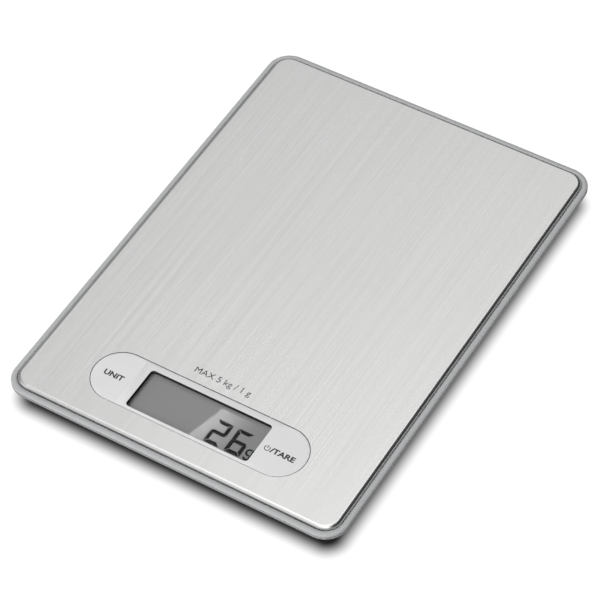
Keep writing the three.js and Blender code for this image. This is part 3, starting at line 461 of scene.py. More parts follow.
# %% [markdown]
# ## Tools for the bench
#
# A piece starts as a primitive at its size and place. Everything else is deselected first, because an
# operator acts on all that is selected. Edges and faces are then picked by where they lie, and shaped
# with bevel, inset and extrude. Cuts are Boolean modifiers that are applied at once.

# %% Add, pick, round and cut
KINDS = ("verts", "edges", "faces")
TINY = 1e-6


def only(piece):
    bpy.ops.object.select_all(action="DESELECT")
    piece.select_set(True)
    bpy.context.view_layer.objects.active = piece


def fresh(add, name, scale=(1, 1, 1), **settings):
    """Add one primitive, size it and name it, with its place in its mesh."""
    bpy.ops.object.select_all(action="DESELECT")
    add(**settings)
    piece = bpy.context.object
    piece.name = piece.data.name = name
    piece.scale = scale
    bpy.ops.object.transform_apply(location=True, rotation=True, scale=True)
    return piece


@contextmanager
def editing(piece):
    only(piece)
    bpy.ops.object.mode_set(mode="EDIT")
    yield
    bpy.ops.object.mode_set(mode="OBJECT")


def pick(piece, kind, test):
    """In edit mode, select only the verts, edges or faces that pass a test."""
    bpy.context.tool_settings.mesh_select_mode = [each == kind for each in KINDS]
    mesh = bmesh.from_edit_mesh(piece.data)
    for each in KINDS:
        for item in getattr(mesh, each):
            item.select = False
    chosen = [item for item in getattr(mesh, kind) if test(item)]
    for item in chosen:
        item.select_set(True)
    mesh.select_flush_mode()
    bmesh.update_edit_mesh(piece.data)
    return len(chosen)


def at_height(height):
    return lambda item: all(abs(corner.co.z - height) < TINY for corner in item.verts)


def upright(edge):
    first, last = edge.verts
    return (first.co.xy - last.co.xy).length < TINY


def round_edges(piece, test, radius, steps):
    with editing(piece):
        pick(piece, "edges", test)
        bpy.ops.mesh.bevel(offset=radius, offset_type="OFFSET", segments=steps, affect="EDGES")


def slab(name, size, centre, low, high, corner=0.0, steps=12):
    """A flat plate with upright rounded corners."""
    place = (centre[0], centre[1], (low + high) / 2)
    piece = fresh(bpy.ops.mesh.primitive_cube_add, name, (*size, high - low), size=1, location=place)
    if corner:
        round_edges(piece, upright, corner, steps)
    return piece


def barrel(name, centre, radius, low, high, sides=64):
    """A round bar that stands upright."""
    place = (centre[0], centre[1], (low + high) / 2)
    add = bpy.ops.mesh.primitive_cylinder_add
    return fresh(add, name, vertices=sides, radius=radius, depth=high - low, location=place)


def apply_modifier(piece, kind, **settings):
    modifier = piece.modifiers.new(kind.lower(), kind)
    for name, value in settings.items():
        setattr(modifier, name, value)
    only(piece)
    bpy.ops.object.modifier_apply(modifier=modifier.name)


def carve(piece, *tools, operation="DIFFERENCE"):
    for tool in tools:
        apply_modifier(piece, "BOOLEAN", operation=operation, object=tool, solver="EXACT")
        bpy.data.objects.remove(tool)
    return piece


def joined(first, *others):
    only(first)
    for other in others:
        other.select_set(True)
    bpy.ops.object.join()
    return first


def twin(piece, name, shift):
    """A copy with its own mesh, moved by a shift."""
    only(piece)
    bpy.ops.object.duplicate()
    made = bpy.context.object
    made.name = made.data.name = name
    made.location = shift
    bpy.ops.object.transform_apply(location=True, rotation=True, scale=True)
    return made


def polish(piece, angle=32):
    """Merge doubles, turn every face outwards and smooth what is nearly flat."""
    with editing(piece):
        bpy.ops.mesh.select_all(action="SELECT")
        bpy.ops.mesh.remove_doubles(threshold=TINY)
        bpy.ops.mesh.normals_make_consistent(inside=False)
    bpy.ops.object.shade_smooth_by_angle(angle=math.radians(angle))
    return piece


def fit(piece, body, slot, *nodes, finish=None):
    """Give a piece its finish and its body, and hide the nodes it stands for."""
    piece.data.materials.clear()
    piece.data.materials.append(finish or FINISHES[slot])
    if body:
        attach(piece, body)
    if nodes:
        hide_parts(*nodes)
    print(piece.name, len(piece.data.polygons), "faces")
    return piece


def box(node):
    return tuple(Vector(corner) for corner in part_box(node))


# %% [markdown]
# ## The steel platform
#
# The platform is a sheet 0.5 mm thick, pressed over at its edge, with a slot that has round ends for the
# front panel. It starts as a slab: the upright edges are rounded, the top edge is rolled over, the
# bottom is taken away, and Solidify gives the sheet its thickness inwards. A narrow inset just inside
# the roll keeps the shading of the flat top clean.

# %% Press the platform
plate_low, plate_high = box("steel_platform")
plate_size = plate_high.xy - plate_low.xy
plate_middle = (plate_high.xy + plate_low.xy) / 2
SHEET = 0.5 * MM
PLATE_CORNER = 7.5 * MM
PLATE_ROLL = 1.5 * MM
PLATE_BORDER = 0.3 * MM
PANEL_SIZE = Vector((101.7, 25.5)) * MM
PANEL_MIDDLE = Vector((-0.2, -83.1)) * MM
END_FLAT = 0.02 * MM


def stadium(name, margin, low, high, steps=24):
    """A slab with round ends, larger than the panel's slot by a margin all round."""
    size = PANEL_SIZE + Vector((2 * margin, 2 * margin))
    return slab(name, size, PANEL_MIDDLE, low, high, size.y / 2 - END_FLAT, steps)


def press_platform():
    plate = slab("brushed_platform", plate_size, plate_middle, plate_low.z, plate_high.z, PLATE_CORNER, 18)
    round_edges(plate, at_height(plate_high.z), PLATE_ROLL, 8)
    with editing(plate):
        pick(plate, "faces", at_height(plate_high.z))
        bpy.ops.mesh.inset(thickness=PLATE_BORDER)
        pick(plate, "faces", at_height(plate_low.z))
        bpy.ops.mesh.delete(type="FACE")
    apply_modifier(plate, "SOLIDIFY", thickness=SHEET, offset=-1)
    carve(plate, stadium("slot_tool", 0, plate_low.z, plate_high.z + 2 * MM))
    return polish(plate)


platform = press_platform()
fit(platform, "scale_body", "steel", "steel_platform")

# %% [markdown]
# ## The housings
#
# The top housing shows as the ledge and the rounded rim round the platform, and the bottom housing as
# the curved underside. Both carry ribs, bosses, wells and pockets that only the frame knows, so
# remodelling them would risk losing a fit. A merged copy keeps them all, and smoothing by angle with
# weighted normals turns the facets of the rims back into curves.

# %% Smooth the housings
def smooth_copy(node, name, angle):
    piece = bpy.data.objects.new(name, frame["nodes"][node].data.copy())
    bpy.context.scene.collection.objects.link(piece)
    polish(piece, angle)
    apply_modifier(piece, "WEIGHTED_NORMAL", mode="FACE_AREA", weight=60, keep_sharp=True)
    return piece


for node, name in (("top_housing", "ledge_housing"), ("bottom_housing", "base_housing")):
    fit(smooth_copy(node, name, 33), "scale_body", "housing", node)

# %% [markdown]
# ## The panel film
#
# One film covers the display and both keys. It bends over a key that is pressed, so it is cut along two
# hidden seams: the middle piece stays on the scale, and each end follows its key near the middle of the
# key and stays still at its border. The ends are cut into a fine grid first, because only vertices can
# move.

# %% Cut the film
film_low, film_high = box("overlay_film")
WINDOW_SIZE = Vector((58.5, 20.6)) * MM
WINDOW_MIDDLE = Vector((0.25, -83.85)) * MM
WINDOW_CORNER = 1.7 * MM
SEAM = 32.9 * MM
GRID = 1.1 * MM
KEYS = {
    "unit": Vector((-41.15, -83.85)) * MM,
    "tare": Vector((38.75, -83.85)) * MM,
}
PRESS_INNER = 3 * MM
PRESS_OUTER = 8 * MM
FILM_GAP = 0.3 * MM
FILM_EDGE = 0.06 * MM


def whole_film():
    film = stadium("film_blank", -FILM_GAP, film_low.z, film_high.z)
    round_edges(film, at_height(film_high.z), FILM_EDGE, 2)
    low, high = film_low.z - MM, film_high.z + MM
    return carve(film, slab("window_tool", WINDOW_SIZE, WINDOW_MIDDLE, low, high, WINDOW_CORNER, 10))


def slice_off(piece, x, keep):
    """Keep one side of an upright cut across the film, and close the cut."""
    with editing(piece):
        bpy.ops.mesh.select_all(action="SELECT")
        bpy.ops.mesh.bisect(plane_co=(x, 0, 0), plane_no=(keep, 0, 0), use_fill=True, clear_inner=True)


def score(piece, axis, spacing):
    """Cut a piece into strips across one axis, without taking anything away."""
    normal = Vector((0, 0, 0))
    normal[axis] = 1
    places = [corner.co[axis] for corner in piece.data.vertices]
    count = int((max(places) - min(places)) / spacing)
    with editing(piece):
        for step in range(1, count + 1):
            bpy.ops.mesh.select_all(action="SELECT")
            bpy.ops.mesh.bisect(plane_co=normal * (min(places) + step * spacing), plane_no=normal)


blank = whole_film()
film_middle = twin(blank, "film_middle", (0, 0, 0))
slice_off(film_middle, -SEAM, 1)
slice_off(film_middle, SEAM, -1)
film_ends = {key: twin(blank, "film_" + key, (0, 0, 0)) for key in KEYS}
slice_off(film_ends["unit"], -SEAM, -1)
slice_off(film_ends["tare"], SEAM, 1)
bpy.data.objects.remove(blank)
for end in film_ends.values():
    score(end, 0, GRID)
    score(end, 1, GRID)
for piece in (film_middle, *film_ends.values()):
    polish(piece)
fit(film_middle, "scale_body", "film", "overlay_film")
for end in film_ends.values():
    fit(end, None, "film", "overlay_film")

# %% [markdown]
# ## Flat lettering
#
# The film says what each key does, and the plate has a grey capacity marking. Lettering could be a
# texture, but then it would blur up close. A text object turned into a mesh stays sharp and can bend
# with the film, once Solidify has made it as thick as a coat of ink.

# %% Print the legends
INK = 0.02 * MM
PRINT_GAP = 0.004 * MM
BOLD = 0.034
PLAIN = 0.0
UNIT_BOX = (-45.8, -36.5, -85.1, -82.4)
TARE_BOX = (34.6, 46.0, -85.45, -82.75)
MARKING_BOX = (-13.6, 13.1, -66.9, -63.0)
POWER_MIDDLE = Vector((33.05, -84.1)) * MM
POWER_RADIUS = 1.35 * MM
POWER_STROKE = 0.36 * MM
POWER_OPENING = 0.82
POWER_BAR_RISE = 0.62


def printed(piece, height):
    """Lift a flat outline onto a surface and give it the thickness of ink."""
    piece.location.z = height + PRINT_GAP
    only(piece)
    bpy.ops.object.transform_apply(location=True, rotation=True, scale=True)
    apply_modifier(piece, "SOLIDIFY", thickness=INK, offset=1)
    return polish(piece, 20)


def lettering(name, words, edges, height, weight=BOLD):
    """Words stretched to fill a box on a surface, given as left, right, bottom and top in millimetres."""
    left, right, bottom, top = (edge * MM for edge in edges)
    bpy.ops.object.select_all(action="DESELECT")
    bpy.ops.object.text_add(location=(0, 0, 0))
    text = bpy.context.object
    text.data.body = words
    text.data.offset = weight
    bpy.ops.object.convert(target="MESH")
    piece = bpy.context.object
    piece.name = piece.data.name = name
    xs = [corner.co.x for corner in piece.data.vertices]
    ys = [corner.co.y for corner in piece.data.vertices]
    stretch = ((right - left) / (max(xs) - min(xs)), (top - bottom) / (max(ys) - min(ys)))
    piece.scale = (*stretch, 1)
    piece.location = (left - min(xs) * stretch[0], bottom - min(ys) * stretch[1], 0)
    return printed(piece, height)


def power_symbol(name, centre, radius, stroke, height):
    """An open ring with a short bar through its gap."""
    place = (*centre, 0)
    ring = fresh(bpy.ops.mesh.primitive_circle_add, name, vertices=48, radius=radius, location=place)
    with editing(ring):
        pick(ring, "verts", lambda corner: corner.co.y - centre.y > POWER_OPENING * radius)
        bpy.ops.mesh.delete(type="VERT")
        bpy.ops.mesh.select_all(action="SELECT")
        bpy.ops.mesh.extrude_region_move()
        shrink = 1 - stroke / radius
        bpy.ops.transform.resize(value=(shrink, shrink, 1), center_override=place)
    place = (centre.x, centre.y + POWER_BAR_RISE * radius, 0)
    size = (stroke, radius, 1)
    rod = fresh(bpy.ops.mesh.primitive_plane_add, "power_bar", size, size=1, location=place)
    return printed(joined(ring, rod), height)


film_top = film_high.z
ink = printed_ink("legend_ink", 0.025)
legends = {
    "unit": [lettering("legend_unit", "UNIT", UNIT_BOX, film_top)],
    "tare": [
        power_symbol("legend_power", POWER_MIDDLE, POWER_RADIUS, POWER_STROKE, film_top),
        lettering("legend_tare", "/TARE", TARE_BOX, film_top),
    ],
}
for key, pieces in legends.items():
    for piece in pieces:
        fit(piece, None, "film", finish=ink)
marking = lettering("capacity_marking", "MAX 5 kg / 1 g", MARKING_BOX, plate_high.z, PLAIN)
fit(marking, "scale_body", "steel", finish=printed_ink("marking_ink", 0.05))

# %% [markdown]
# ## The film follows the keys
#
# A blend mixes two bodies along a line, but a pressed film dips in a round hollow. The blend is made
# first, and its share is then written again for each vertex by its distance from the middle of the key.

# %% Dip the film over each key
def dip(piece, key):
    middle = KEYS[key]
    start, end = (*middle, film_top), (middle.x + PRESS_OUTER, middle.y, film_top)
    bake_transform(piece, "scale_body", key + "_key", start=start, end=end)
    shares = piece.data.attributes["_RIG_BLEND"].data
    for corner, share in zip(piece.data.vertices, shares):
        reach = ((corner.co.xy - middle).length - PRESS_INNER) / (PRESS_OUTER - PRESS_INNER)
        reach = min(max(reach, 0.0), 1.0)
        share.value = 1 - reach * reach * (3 - 2 * reach)


for key, end in film_ends.items():
    for piece in (end, *legends[key]):
        dip(piece, key)
        print(piece.name, "bends with", key + "_key")

# %% [markdown]
# ## The display
#
# The lens is a clear plate in the well of the housing. Behind it, the liquid crystal shows two figures
# made of bars with tapered ends, and a small gram sign. Each bar starts as a plane whose inner corners
# are pulled in, and the middle bar gets a point at each end. The gram sign is a bowl, a stem and a hook,
# because the letter of the font has another form.

# %% Seat the lens
display_low, display_high = box("display_lens")
lens_middle = (display_low.xy + display_high.xy) / 2
lens_size = display_high.xy - display_low.xy
LENS_CORNER = 1.5 * MM
LENS_EDGE = 0.1 * MM
lens = slab("window_lens", lens_size, lens_middle, display_low.z, display_high.z, LENS_CORNER, 8)
round_edges(lens, at_height(display_high.z), LENS_EDGE, 2)
fit(polish(lens), "scale_body", "lens", "display_lens")

# %% Light the figures
FIGURE = Vector((7.4, 12.3)) * MM
BAR = 1.75 * MM
BREAK = 0.16 * MM
FIGURE_BOTTOM = -92.3 * MM
TENS_LEFT = 7.3 * MM
ONES_LEFT = 17.1 * MM
polariser_top = box("lcd_front_polariser")[1].z


def pull(piece, test, shift):
    with editing(piece):
        pick(piece, "verts", test)
        bpy.ops.transform.translate(value=(*shift, 0))


def near(x, y):
    return lambda corner: abs(corner.co.x - x) < TINY and abs(corner.co.y - y) < TINY


def bar(left, right, bottom, top, pulls):
    """A flat bar with some of its corners pulled in."""
    middle = ((left + right) / 2, (bottom + top) / 2, 0)
    size = (right - left, top - bottom, 1)
    piece = fresh(bpy.ops.mesh.primitive_plane_add, "figure_bar", size, size=1, location=middle)
    for (x, y), shift in pulls:
        pull(piece, near(x, y), shift)
    return piece


def middle_bar(left, right, height):
    """The bar across the middle, with a point at each end."""
    low, high = height - BAR / 2, height + BAR / 2
    inner_left, inner_right = left + BAR / 2, right - BAR / 2
    piece = bar(inner_left, inner_right, low, high, [])
    with editing(piece):
        pick(piece, "edges", lambda edge: abs(edge.verts[0].co.x - edge.verts[1].co.x) < TINY)
        bpy.ops.mesh.subdivide(number_cuts=1)
    pull(piece, near(inner_left, height), (-BAR / 2, 0))
    pull(piece, near(inner_right, height), (BAR / 2, 0))
    return piece


def figure(left, lit):
    """The lit bars of one figure, from top t, middle m, bottom b, and upper and lower left and right."""
    right, bottom, top = left + FIGURE.x, FIGURE_BOTTOM, FIGURE_BOTTOM + FIGURE.y
    half, flat = (bottom + top) / 2, BAR
    in_left, in_right = left + flat, right - flat
    ends = (left + BREAK, right - BREAK)
    bars = {
        "t": lambda: bar(*ends, top - flat, top, [((ends[0], top - flat), (flat, 0)),
                                                 ((ends[1], top - flat), (-flat, 0))]),
        "b": lambda: bar(*ends, bottom, bottom + flat, [((ends[0], bottom + flat), (flat, 0)),
                                                       ((ends[1], bottom + flat), (-flat, 0))]),
        "m": lambda: middle_bar(*ends, half),
    }
    for side, outer, inner in (("l", left, in_left), ("r", right, in_right)):
        spans = {
            "u": (half + BREAK, top - BREAK, flat / 2, flat),
            "d": (bottom + BREAK, half - BREAK, flat, flat / 2),
        }
        for level, (low, high, lift, drop) in spans.items():
            pulls = [((inner, low), (0, lift)), ((inner, high), (0, -drop))]
            edges = (min(outer, inner), max(outer, inner), low, high)
            bars[level + side] = lambda edges=edges, pulls=pulls: bar(*edges, pulls)
    return [bars[name]() for name in lit]


tens = figure(TENS_LEFT, ("t", "ur", "m", "dl", "b"))
ones = figure(ONES_LEFT, ("t", "ul", "m", "dl", "dr", "b"))
digits = joined(*tens, *ones)
digits.name = digits.data.name = "lcd_figures"
printed(digits, polariser_top)
lcd_ink = printed_ink("lcd_ink", 0.02, gloss=0.0)
fit(digits, "scale_body", "polariser", finish=lcd_ink)

# %% Light the gram sign
GRAM_MIDDLE = Vector((27.0, -88.3, 0)) * MM
GRAM_BOWL = Vector((1.6, 1.85)) * MM
GRAM_STROKE = 0.85 * MM
GRAM_STEM = 28.72 * MM
GRAM_OPENING = 0.95 * MM
GRAM_DROP = 4.6 * MM
GRAM_HOOK = Vector((1.54, 1.3)) * MM


def open_ring(name, centre, radii, keep):
    """A flat ring of which only some is kept, by a test on a point's place from the centre."""
    ring = fresh(bpy.ops.mesh.primitive_circle_add, name, (*radii, 1), vertices=48, radius=1)
    with editing(ring):
        pick(ring, "verts", lambda corner: not keep(corner.co))
        bpy.ops.mesh.delete(type="VERT")
        bpy.ops.mesh.select_all(action="SELECT")
        bpy.ops.mesh.extrude_region_move()
        shrink = [1 - GRAM_STROKE / radius for radius in radii]
        bpy.ops.transform.resize(value=(*shrink, 1), center_override=(0, 0, 0))
    ring.location = centre
    only(ring)
    bpy.ops.object.transform_apply(location=True, rotation=True, scale=True)
    return ring


def gram_sign():
    """A bowl that is open to the right, a stem, and a tail that turns under."""
    bowl = open_ring("gram_bowl", GRAM_MIDDLE, GRAM_BOWL, lambda spot: spot.x < GRAM_OPENING)
    stem_top = GRAM_MIDDLE.y + GRAM_BOWL.y
    tail_top = stem_top - GRAM_DROP
    stem = bar(GRAM_STEM - GRAM_STROKE, GRAM_STEM, tail_top, stem_top, [])
    tail_place = Vector((GRAM_STEM - GRAM_HOOK.x, tail_top, 0))
    tail = open_ring("gram_tail", tail_place, GRAM_HOOK, lambda spot: spot.y < TINY)
    sign = joined(bowl, stem, tail)
    sign.name = sign.data.name = "lcd_gram_sign"
    return printed(sign, polariser_top)


fit(gram_sign(), "scale_body", "polariser", finish=lcd_ink)

# %% [markdown]
# ## The feet
#
# Each foot is a plastic shell that pushes on a load cell, with a rubber pad pressed into its end. The
# shell is three round bars made into one, with a seat inset for the pad. The pad gets two ring grooves
# from runs of insets, so that it grips. Both are modelled once and copied to the other corners.

# %% Turn the feet
CORNERS = ("front_left", "front_right", "back_left", "back_right")
FLANGE_HEIGHTS = (4.35 * MM, 5.25 * MM)
FLANGE_LIP = 1.5 * MM
BOSS_RADIUS = 2.5 * MM
OVERLAP = 0.2 * MM
SEAT_WALL = 0.6 * MM
SEAT_DEPTH = 0.7 * MM
SHELL_EDGE = 0.2 * MM
PAD_EDGE = 0.35 * MM
GRIP_BORDERS = (1.1 * MM, 1.3 * MM)
GRIP_SLOPE = 0.12 * MM
GRIP_WIDTH = 0.5 * MM
GRIP_DEPTH = 0.35 * MM


def foot_middle(corner):
    low, high = box("foot_pad_" + corner)
    return (low.xy + high.xy) / 2


def turn_shell(name, middle):
    low, high = box("foot_shell_front_left")
    flange_radius = (high.x - low.x) / 2
    barrel_radius = flange_radius - FLANGE_LIP
    flange_low, flange_high = FLANGE_HEIGHTS
    shell = barrel(name, middle, barrel_radius, low.z, flange_low + OVERLAP)
    flange = barrel("flange", middle, flange_radius, flange_low, flange_high)
    boss = barrel("boss", middle, BOSS_RADIUS, flange_high - OVERLAP, high.z, 32)
    carve(shell, flange, boss, operation="UNION")
    with editing(shell):
        pick(shell, "faces", at_height(low.z))
        bpy.ops.mesh.inset(thickness=SEAT_WALL)
        bpy.ops.mesh.extrude_region_move(TRANSFORM_OT_translate={"value": (0, 0, SEAT_DEPTH)})
    round_edges(shell, outer_rim(low.z, middle, barrel_radius), SHELL_EDGE, 3)
    return polish(shell)


def outer_rim(height, middle, radius):
    """A test for the edges round the end of a round bar, and not those of the seat in it."""
    def on_rim(corner):
        return abs((corner.co.xy - middle).length - radius) < 0.01 * MM
    return lambda edge: at_height(height)(edge) and all(map(on_rim, edge.verts))


def turn_pad(name, middle):
    low, high = box("foot_pad_front_left")
    pad = barrel(name, middle, (high.x - low.x) / 2, low.z, high.z)
    round_edges(pad, at_height(low.z), PAD_EDGE, 4)
    with editing(pad):
        pick(pad, "faces", at_height(low.z))
        for border in GRIP_BORDERS:
            bpy.ops.mesh.inset(thickness=border)
            bpy.ops.mesh.inset(thickness=GRIP_SLOPE, depth=-GRIP_DEPTH)
            bpy.ops.mesh.inset(thickness=GRIP_WIDTH)
            bpy.ops.mesh.inset(thickness=GRIP_SLOPE, depth=GRIP_DEPTH)
    return polish(pad)


first = foot_middle(CORNERS[0])
shell = turn_shell("foot_barrel_front_left", first)
pad = turn_pad("foot_grip_front_left", first)
for corner in CORNERS:
    shift = (*(foot_middle(corner) - first), 0)
    own_shell = shell if corner == CORNERS[0] else twin(shell, "foot_barrel_" + corner, shift)
    own_pad = pad if corner == CORNERS[0] else twin(pad, "foot_grip_" + corner, shift)
    shell_node, pad_node = "foot_shell_" + corner, "foot_pad_" + corner
    fit(own_shell, "foot_" + corner, SLOT_OF[shell_node], shell_node)
    fit(own_pad, "foot_" + corner, SLOT_OF[pad_node], pad_node)

# %% [markdown]
# ## The battery door
#
# The door is a small square flap on two pins. Its rounded edge, four grip grooves by the finger notch
# and a ring with a plus sign, for the side of the cell that faces out, are cut into a plain slab. The
# pins are one bar through the back edge.

# %% Make the door
door_low, door_high = box("battery_door")
DOOR_TOP = 3.6 * MM
DOOR_CORNER = 2 * MM
PIN_RADIUS = 0.55 * MM
PIN_PLACE = Vector((0, 44, 3)) * MM
DOOR_SIZE = Vector((30, 30)) * MM
DOOR_MIDDLE = Vector((0, 30)) * MM
DOOR_EDGE = 0.25 * MM
GROOVES = 4
GROOVES_MIDDLE = DOOR_MIDDLE + Vector((0, -9.6)) * MM
GROOVE_SPACING = 1.9 * MM
GROOVE_SIZE = (15 * MM, 0.9 * MM)
GROOVE_CORNER = 0.44 * MM
GROOVE_DEPTH = 0.4 * MM
SIGN_MIDDLE = DOOR_MIDDLE + Vector((0, 3)) * MM
SIGN_DEPTH = 0.3 * MM
SIGN_RADII = (5.4 * MM, 4.9 * MM)
PLUS_LENGTH = 4 * MM
PLUS_WIDTH = 0.8 * MM


def grip_grooves():
    tools = []
    low, high = door_low.z - MM, door_low.z + GROOVE_DEPTH
    for step in range(GROOVES):
        place = (GROOVES_MIDDLE.x, GROOVES_MIDDLE.y + (step - (GROOVES - 1) / 2) * GROOVE_SPACING)
        tools.append(slab("groove", GROOVE_SIZE, place, low, high, GROOVE_CORNER, 5))
    return joined(*tools)


def make_door():
    door = slab("battery_flap", DOOR_SIZE, DOOR_MIDDLE, door_low.z, DOOR_TOP, DOOR_CORNER, 10)
    round_edges(door, at_height(door_low.z), DOOR_EDGE, 3)
    carve(door, grip_grooves())
    low, high = door_low.z - MM, door_low.z + SIGN_DEPTH
    ring = barrel("ring", SIGN_MIDDLE, SIGN_RADII[0], low, high)
    core = barrel("core", SIGN_MIDDLE, SIGN_RADII[1], low - MM, door_low.z + MM)
    carve(door, carve(ring, core))
    for size in ((PLUS_LENGTH, PLUS_WIDTH), (PLUS_WIDTH, PLUS_LENGTH)):
        carve(door, slab("plus", size, SIGN_MIDDLE, low, high))
    length = door_high.x - door_low.x
    pin = fresh(bpy.ops.mesh.primitive_cylinder_add, "pin", vertices=24, radius=PIN_RADIUS, depth=length,
                location=PIN_PLACE, rotation=(0, math.pi / 2, 0))
    carve(door, pin, operation="UNION")
    return polish(door)


fit(make_door(), "battery_door", "housing", "battery_door")

# %% [markdown]
# ## The screws
#
# Six pan-head screws hold the housings together, at the bottom of deep holes. The head is a round bar
# with a rounded edge, a cross is cut into it, and the shank is an inset of its back face, pulled out.

# %% Turn the screws
SCREWS = [node for node in SLOT_OF if node.startswith("housing_screw_")]
HEAD_HEIGHT = 1.4 * MM
HEAD_EDGE = 0.55 * MM
CROSS_LENGTH = 2.6 * MM
CROSS_WIDTH = 0.55 * MM
CROSS_DEPTH = 0.8 * MM
SHANK_RADIUS = 1.1 * MM
TIP_SHARE = 0.2


def turn_screw(node):
    low, high = box(node)
    middle = (low.xy + high.xy) / 2
    radius = (high.x - low.x) / 2
    screw = barrel("cross_" + node, middle, radius, low.z, low.z + HEAD_HEIGHT, 40)
    round_edges(screw, at_height(low.z), HEAD_EDGE, 5)
    for size in ((CROSS_LENGTH, CROSS_WIDTH), (CROSS_WIDTH, CROSS_LENGTH)):
        carve(screw, slab("cross", size, middle, low.z - MM, low.z + CROSS_DEPTH))
    with editing(screw):
        pick(screw, "faces", at_height(low.z + HEAD_HEIGHT))
        bpy.ops.mesh.inset(thickness=radius - SHANK_RADIUS)
        shank = high.z - low.z - HEAD_HEIGHT - SHANK_RADIUS
        bpy.ops.mesh.extrude_region_move(TRANSFORM_OT_translate={"value": (0, 0, shank)})
        bpy.ops.mesh.extrude_region_move(TRANSFORM_OT_translate={"value": (0, 0, SHANK_RADIUS)})
        bpy.ops.transform.resize(value=(TIP_SHARE, TIP_SHARE, 1), center_override=(*middle, high.z))
    return polish(screw)


screw = turn_screw(SCREWS[0])
screw_place = box(SCREWS[0])[0]
for node in SCREWS:
    shift = box(node)[0] - screw_place
    own = screw if node == SCREWS[0] else twin(screw, "cross_" + node, shift)
    fit(own, "scale_body", "screw_steel", node)

# %% [markdown]
# ## The studio
#
# The scale stands on a white floor that burns out to the page, under a large soft light. The floor
# glows, and fades to dark under the rim, so that a soft contact shadow shows all round. Seen from below
# it is clear, and a faint sky under it lights the base. The steel edge is dark towards the back right,
# so the sky is dark there and brighter elsewhere, with a bright lane and a hot spot that the steel
# mirrors. The polariser mirrors the edge of a bright card, which gives the display its pale right half:
# the card is laid out by looking at the display from the camera's own mirror image, under the floor.

# %% Lay the floor
FLOOR_GLOW = 1.0
FLOOR_BOUNCE = 0.4
SHADE_START = -6.5 * MM
SHADE_END = 3 * MM
RIM_CORNER = 10.45 * MM
FLOOR_WIDTH = 8
FLOOR_DARK, FLOOR_LIGHT = 0.03, 0.04
rim = box("bottom_housing")[1]
floor = fresh(bpy.ops.mesh.primitive_plane_add, "studio_floor", size=FLOOR_WIDTH)
floor_finish = Finish("white_floor", Roughness=0.9, IOR=1.2, Emission_Color=colour(1.0))
floor_grain = floor_finish.grain(30, detail=2)
floor_finish.feed(Base_Color=floor_finish.tint(floor_grain, FLOOR_DARK, FLOOR_LIGHT))


def outside(nodes, axis, half):
    """How far a point lies outside a half width along one axis, negative inside it."""
    return abs(nodes.along(nodes.spot, axis)) - half


def beyond(nodes, axis, half):
    """The same from where the round corners of the rim start, and nothing before that."""
    return nodes.maths("MAXIMUM", outside(nodes, axis, half - RIM_CORNER), 0)


side = beyond(floor_finish, "X", rim.x)
front = beyond(floor_finish, "Y", rim.y)
from_rim = floor_finish.maths("POWER", side * side + front * front, 0.5) - RIM_CORNER
inner = floor_finish.maths("MAXIMUM", outside(floor_finish, "X", rim.x), outside(floor_finish, "Y", rim.y))
edge_distance = floor_finish.maths("MAXIMUM", from_rim, inner)
page = floor_finish.node("ShaderNodeLightPath", out="Is Camera Ray")
floor_light = FLOOR_BOUNCE + (FLOOR_GLOW - FLOOR_BOUNCE) * page
shade = floor_finish.fade(edge_distance, SHADE_START, SHADE_END)
floor_finish.feed(Emission_Strength=shade * floor_light)
from_below = floor_finish.node("ShaderNodeNewGeometry", out="Backfacing")
clear = floor_finish.node("ShaderNodeBsdfTransparent")
top_side = Wire(floor_finish, floor_finish.surface.outputs["BSDF"])
floor_finish.show(floor_finish.node("ShaderNodeMixShader", inputs={0: from_below, 1: top_side, 2: clear}))
floor.data.materials.append(floor_finish.material)
floor.visible_diffuse = False

# %% Light the sky
SKY_LOW = 0.2
SKY_HIGH = 0.45
SKY_FRONT = 0.6
SKY_BELOW = 0.45
LANE_LEFT = (-0.64, -0.46)
LANE_RIGHT = (-0.2, 0.0)
LANE_FOOT = (0.2, 0.35)
LANE_SLOPE = 0.55
LANE_LIGHT = 0.83
LANE_GAIN = 0.2
DARK_ACROSS, DARK_ONWARD = 0.83, 0.56
DARK_EDGE = (0.1, 0.35)
DARK_SHARE = 0.85
HOT_RISE, HOT_ACROSS = 0.8, 0.35
HOT_EDGE = (0.54, 0.64)
HOT_SPOT = 0.9
world = bpy.data.worlds.new("studio_sky")
bpy.context.scene.world = world
world.use_nodes = True
sky = Nodes(world.node_tree)
direction = sky.node("ShaderNodeTexCoord", out="Generated")
rising = sky.along(direction, "Z")
across = sky.along(direction, "X")
onward = sky.along(direction, "Y")
lane_sides = sky.fade(across, *LANE_LEFT) * sky.fade(across, *LANE_RIGHT, 1.0, 0.0)
lane = lane_sides * sky.fade(rising - onward * LANE_SLOPE, *LANE_FOOT)
lean = sky.fade(across, LANE_LEFT[1], LANE_LEFT[1] + LANE_GAIN, LANE_LIGHT, LANE_LIGHT + LANE_GAIN)
climb = sky.fade(rising, 0.0, 0.8, SKY_LOW, SKY_HIGH)
dark_corner = sky.fade(across * DARK_ACROSS + onward * DARK_ONWARD, *DARK_EDGE)
around = climb + sky.fade(onward, -0.5, -0.1, SKY_FRONT, 0.0) * sky.fade(rising, -0.05, 0.1)
glow = lane * lean + (1 - lane) * around * (1 - dark_corner * DARK_SHARE)
glow = glow + sky.fade(rising, -0.1, 0.0, SKY_BELOW, 0.0)
hot = sky.fade(rising * HOT_RISE + across * HOT_ACROSS, *HOT_EDGE) * (1 - dark_corner)
mirrored = sky.node("ShaderNodeLightPath", out="Is Glossy Ray")
seen = sky.node("ShaderNodeLightPath", out="Is Camera Ray")
strength = seen + (1 - seen) * glow + mirrored * hot * HOT_SPOT
sky.plug(world.node_tree.nodes["Background"].inputs["Color"], colour(1.0))
sky.plug(world.node_tree.nodes["Background"].inputs["Strength"], strength)
print("Sky set")

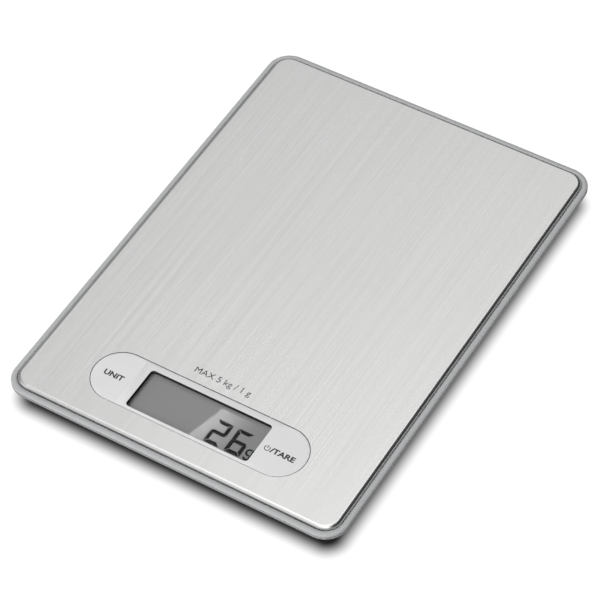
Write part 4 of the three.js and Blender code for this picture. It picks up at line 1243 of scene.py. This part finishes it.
# %% Hang the soft light
LIGHT_SIZE = 2.0
LIGHT_RADIANCE = 2.9
LIGHT_PLACE = Vector((-0.7, -0.9, 2.0))
light_turn = LIGHT_PLACE.to_track_quat("Z", "Y").to_euler()
bpy.ops.object.select_all(action="DESELECT")
bpy.ops.object.light_add(type="AREA", location=LIGHT_PLACE, rotation=light_turn)
soft_light = bpy.context.object
soft_light.name = "overhead_softbox"
soft_light.data.shape = "SQUARE"
soft_light.data.size = LIGHT_SIZE
soft_light.data.energy = LIGHT_RADIANCE * math.pi * LIGHT_SIZE ** 2
soft_light.visible_glossy = False
print("Soft light of", round(soft_light.data.energy, 1), "W")

# %% Place the reflected card
CARD_FAR = 2.3
CARD_GLOW = 7.6
CARD_DIM = 0.06
CARD_BACK, CARD_FRONT, CARD_RIGHT = -72.0, -96.0, 40.0
EDGE_AT_BACK, EDGE_AT_FRONT = 6.6, -0.1
mirrored_camera = Vector((camera_place.x, camera_place.y, 2 * polariser_top - camera_place.z))


def card_corner(x, y):
    """Where the view of a point of the display ends up on the card, once mirrored."""
    point = Vector((x * MM, y * MM, polariser_top))
    ray = (point - mirrored_camera).normalized()
    return point + ray * CARD_FAR


edge_back, edge_front = card_corner(EDGE_AT_BACK, CARD_BACK), card_corner(EDGE_AT_FRONT, CARD_FRONT)
far_back, far_front = card_corner(CARD_RIGHT, CARD_BACK), card_corner(CARD_RIGHT, CARD_FRONT)
card = fresh(bpy.ops.mesh.primitive_plane_add, "reflected_card", size=1)
for corner, place in zip(card.data.vertices, (edge_front, far_front, edge_back, far_back)):
    corner.co = place
card_finish = Finish("card_glow")
card_uv = card_finish.node("ShaderNodeTexCoord", out="UV")
card_fall = card_finish.fade(card_finish.along(card_uv, "X"), -0.15, 0.6, 1.0, CARD_DIM)
card_finish.show(card_finish.node("ShaderNodeEmission", inputs={"Strength": card_fall * CARD_GLOW}))
card.data.materials.append(card_finish.material)
card.visible_camera = False
card.visible_diffuse = False
print("Card is", round((far_front - edge_front).length, 3), "m wide")

# %% Set the view
scene = bpy.context.scene
scene.view_settings.view_transform = "Standard"
scene.view_settings.look = "None"
scene.view_settings.exposure = 0.0
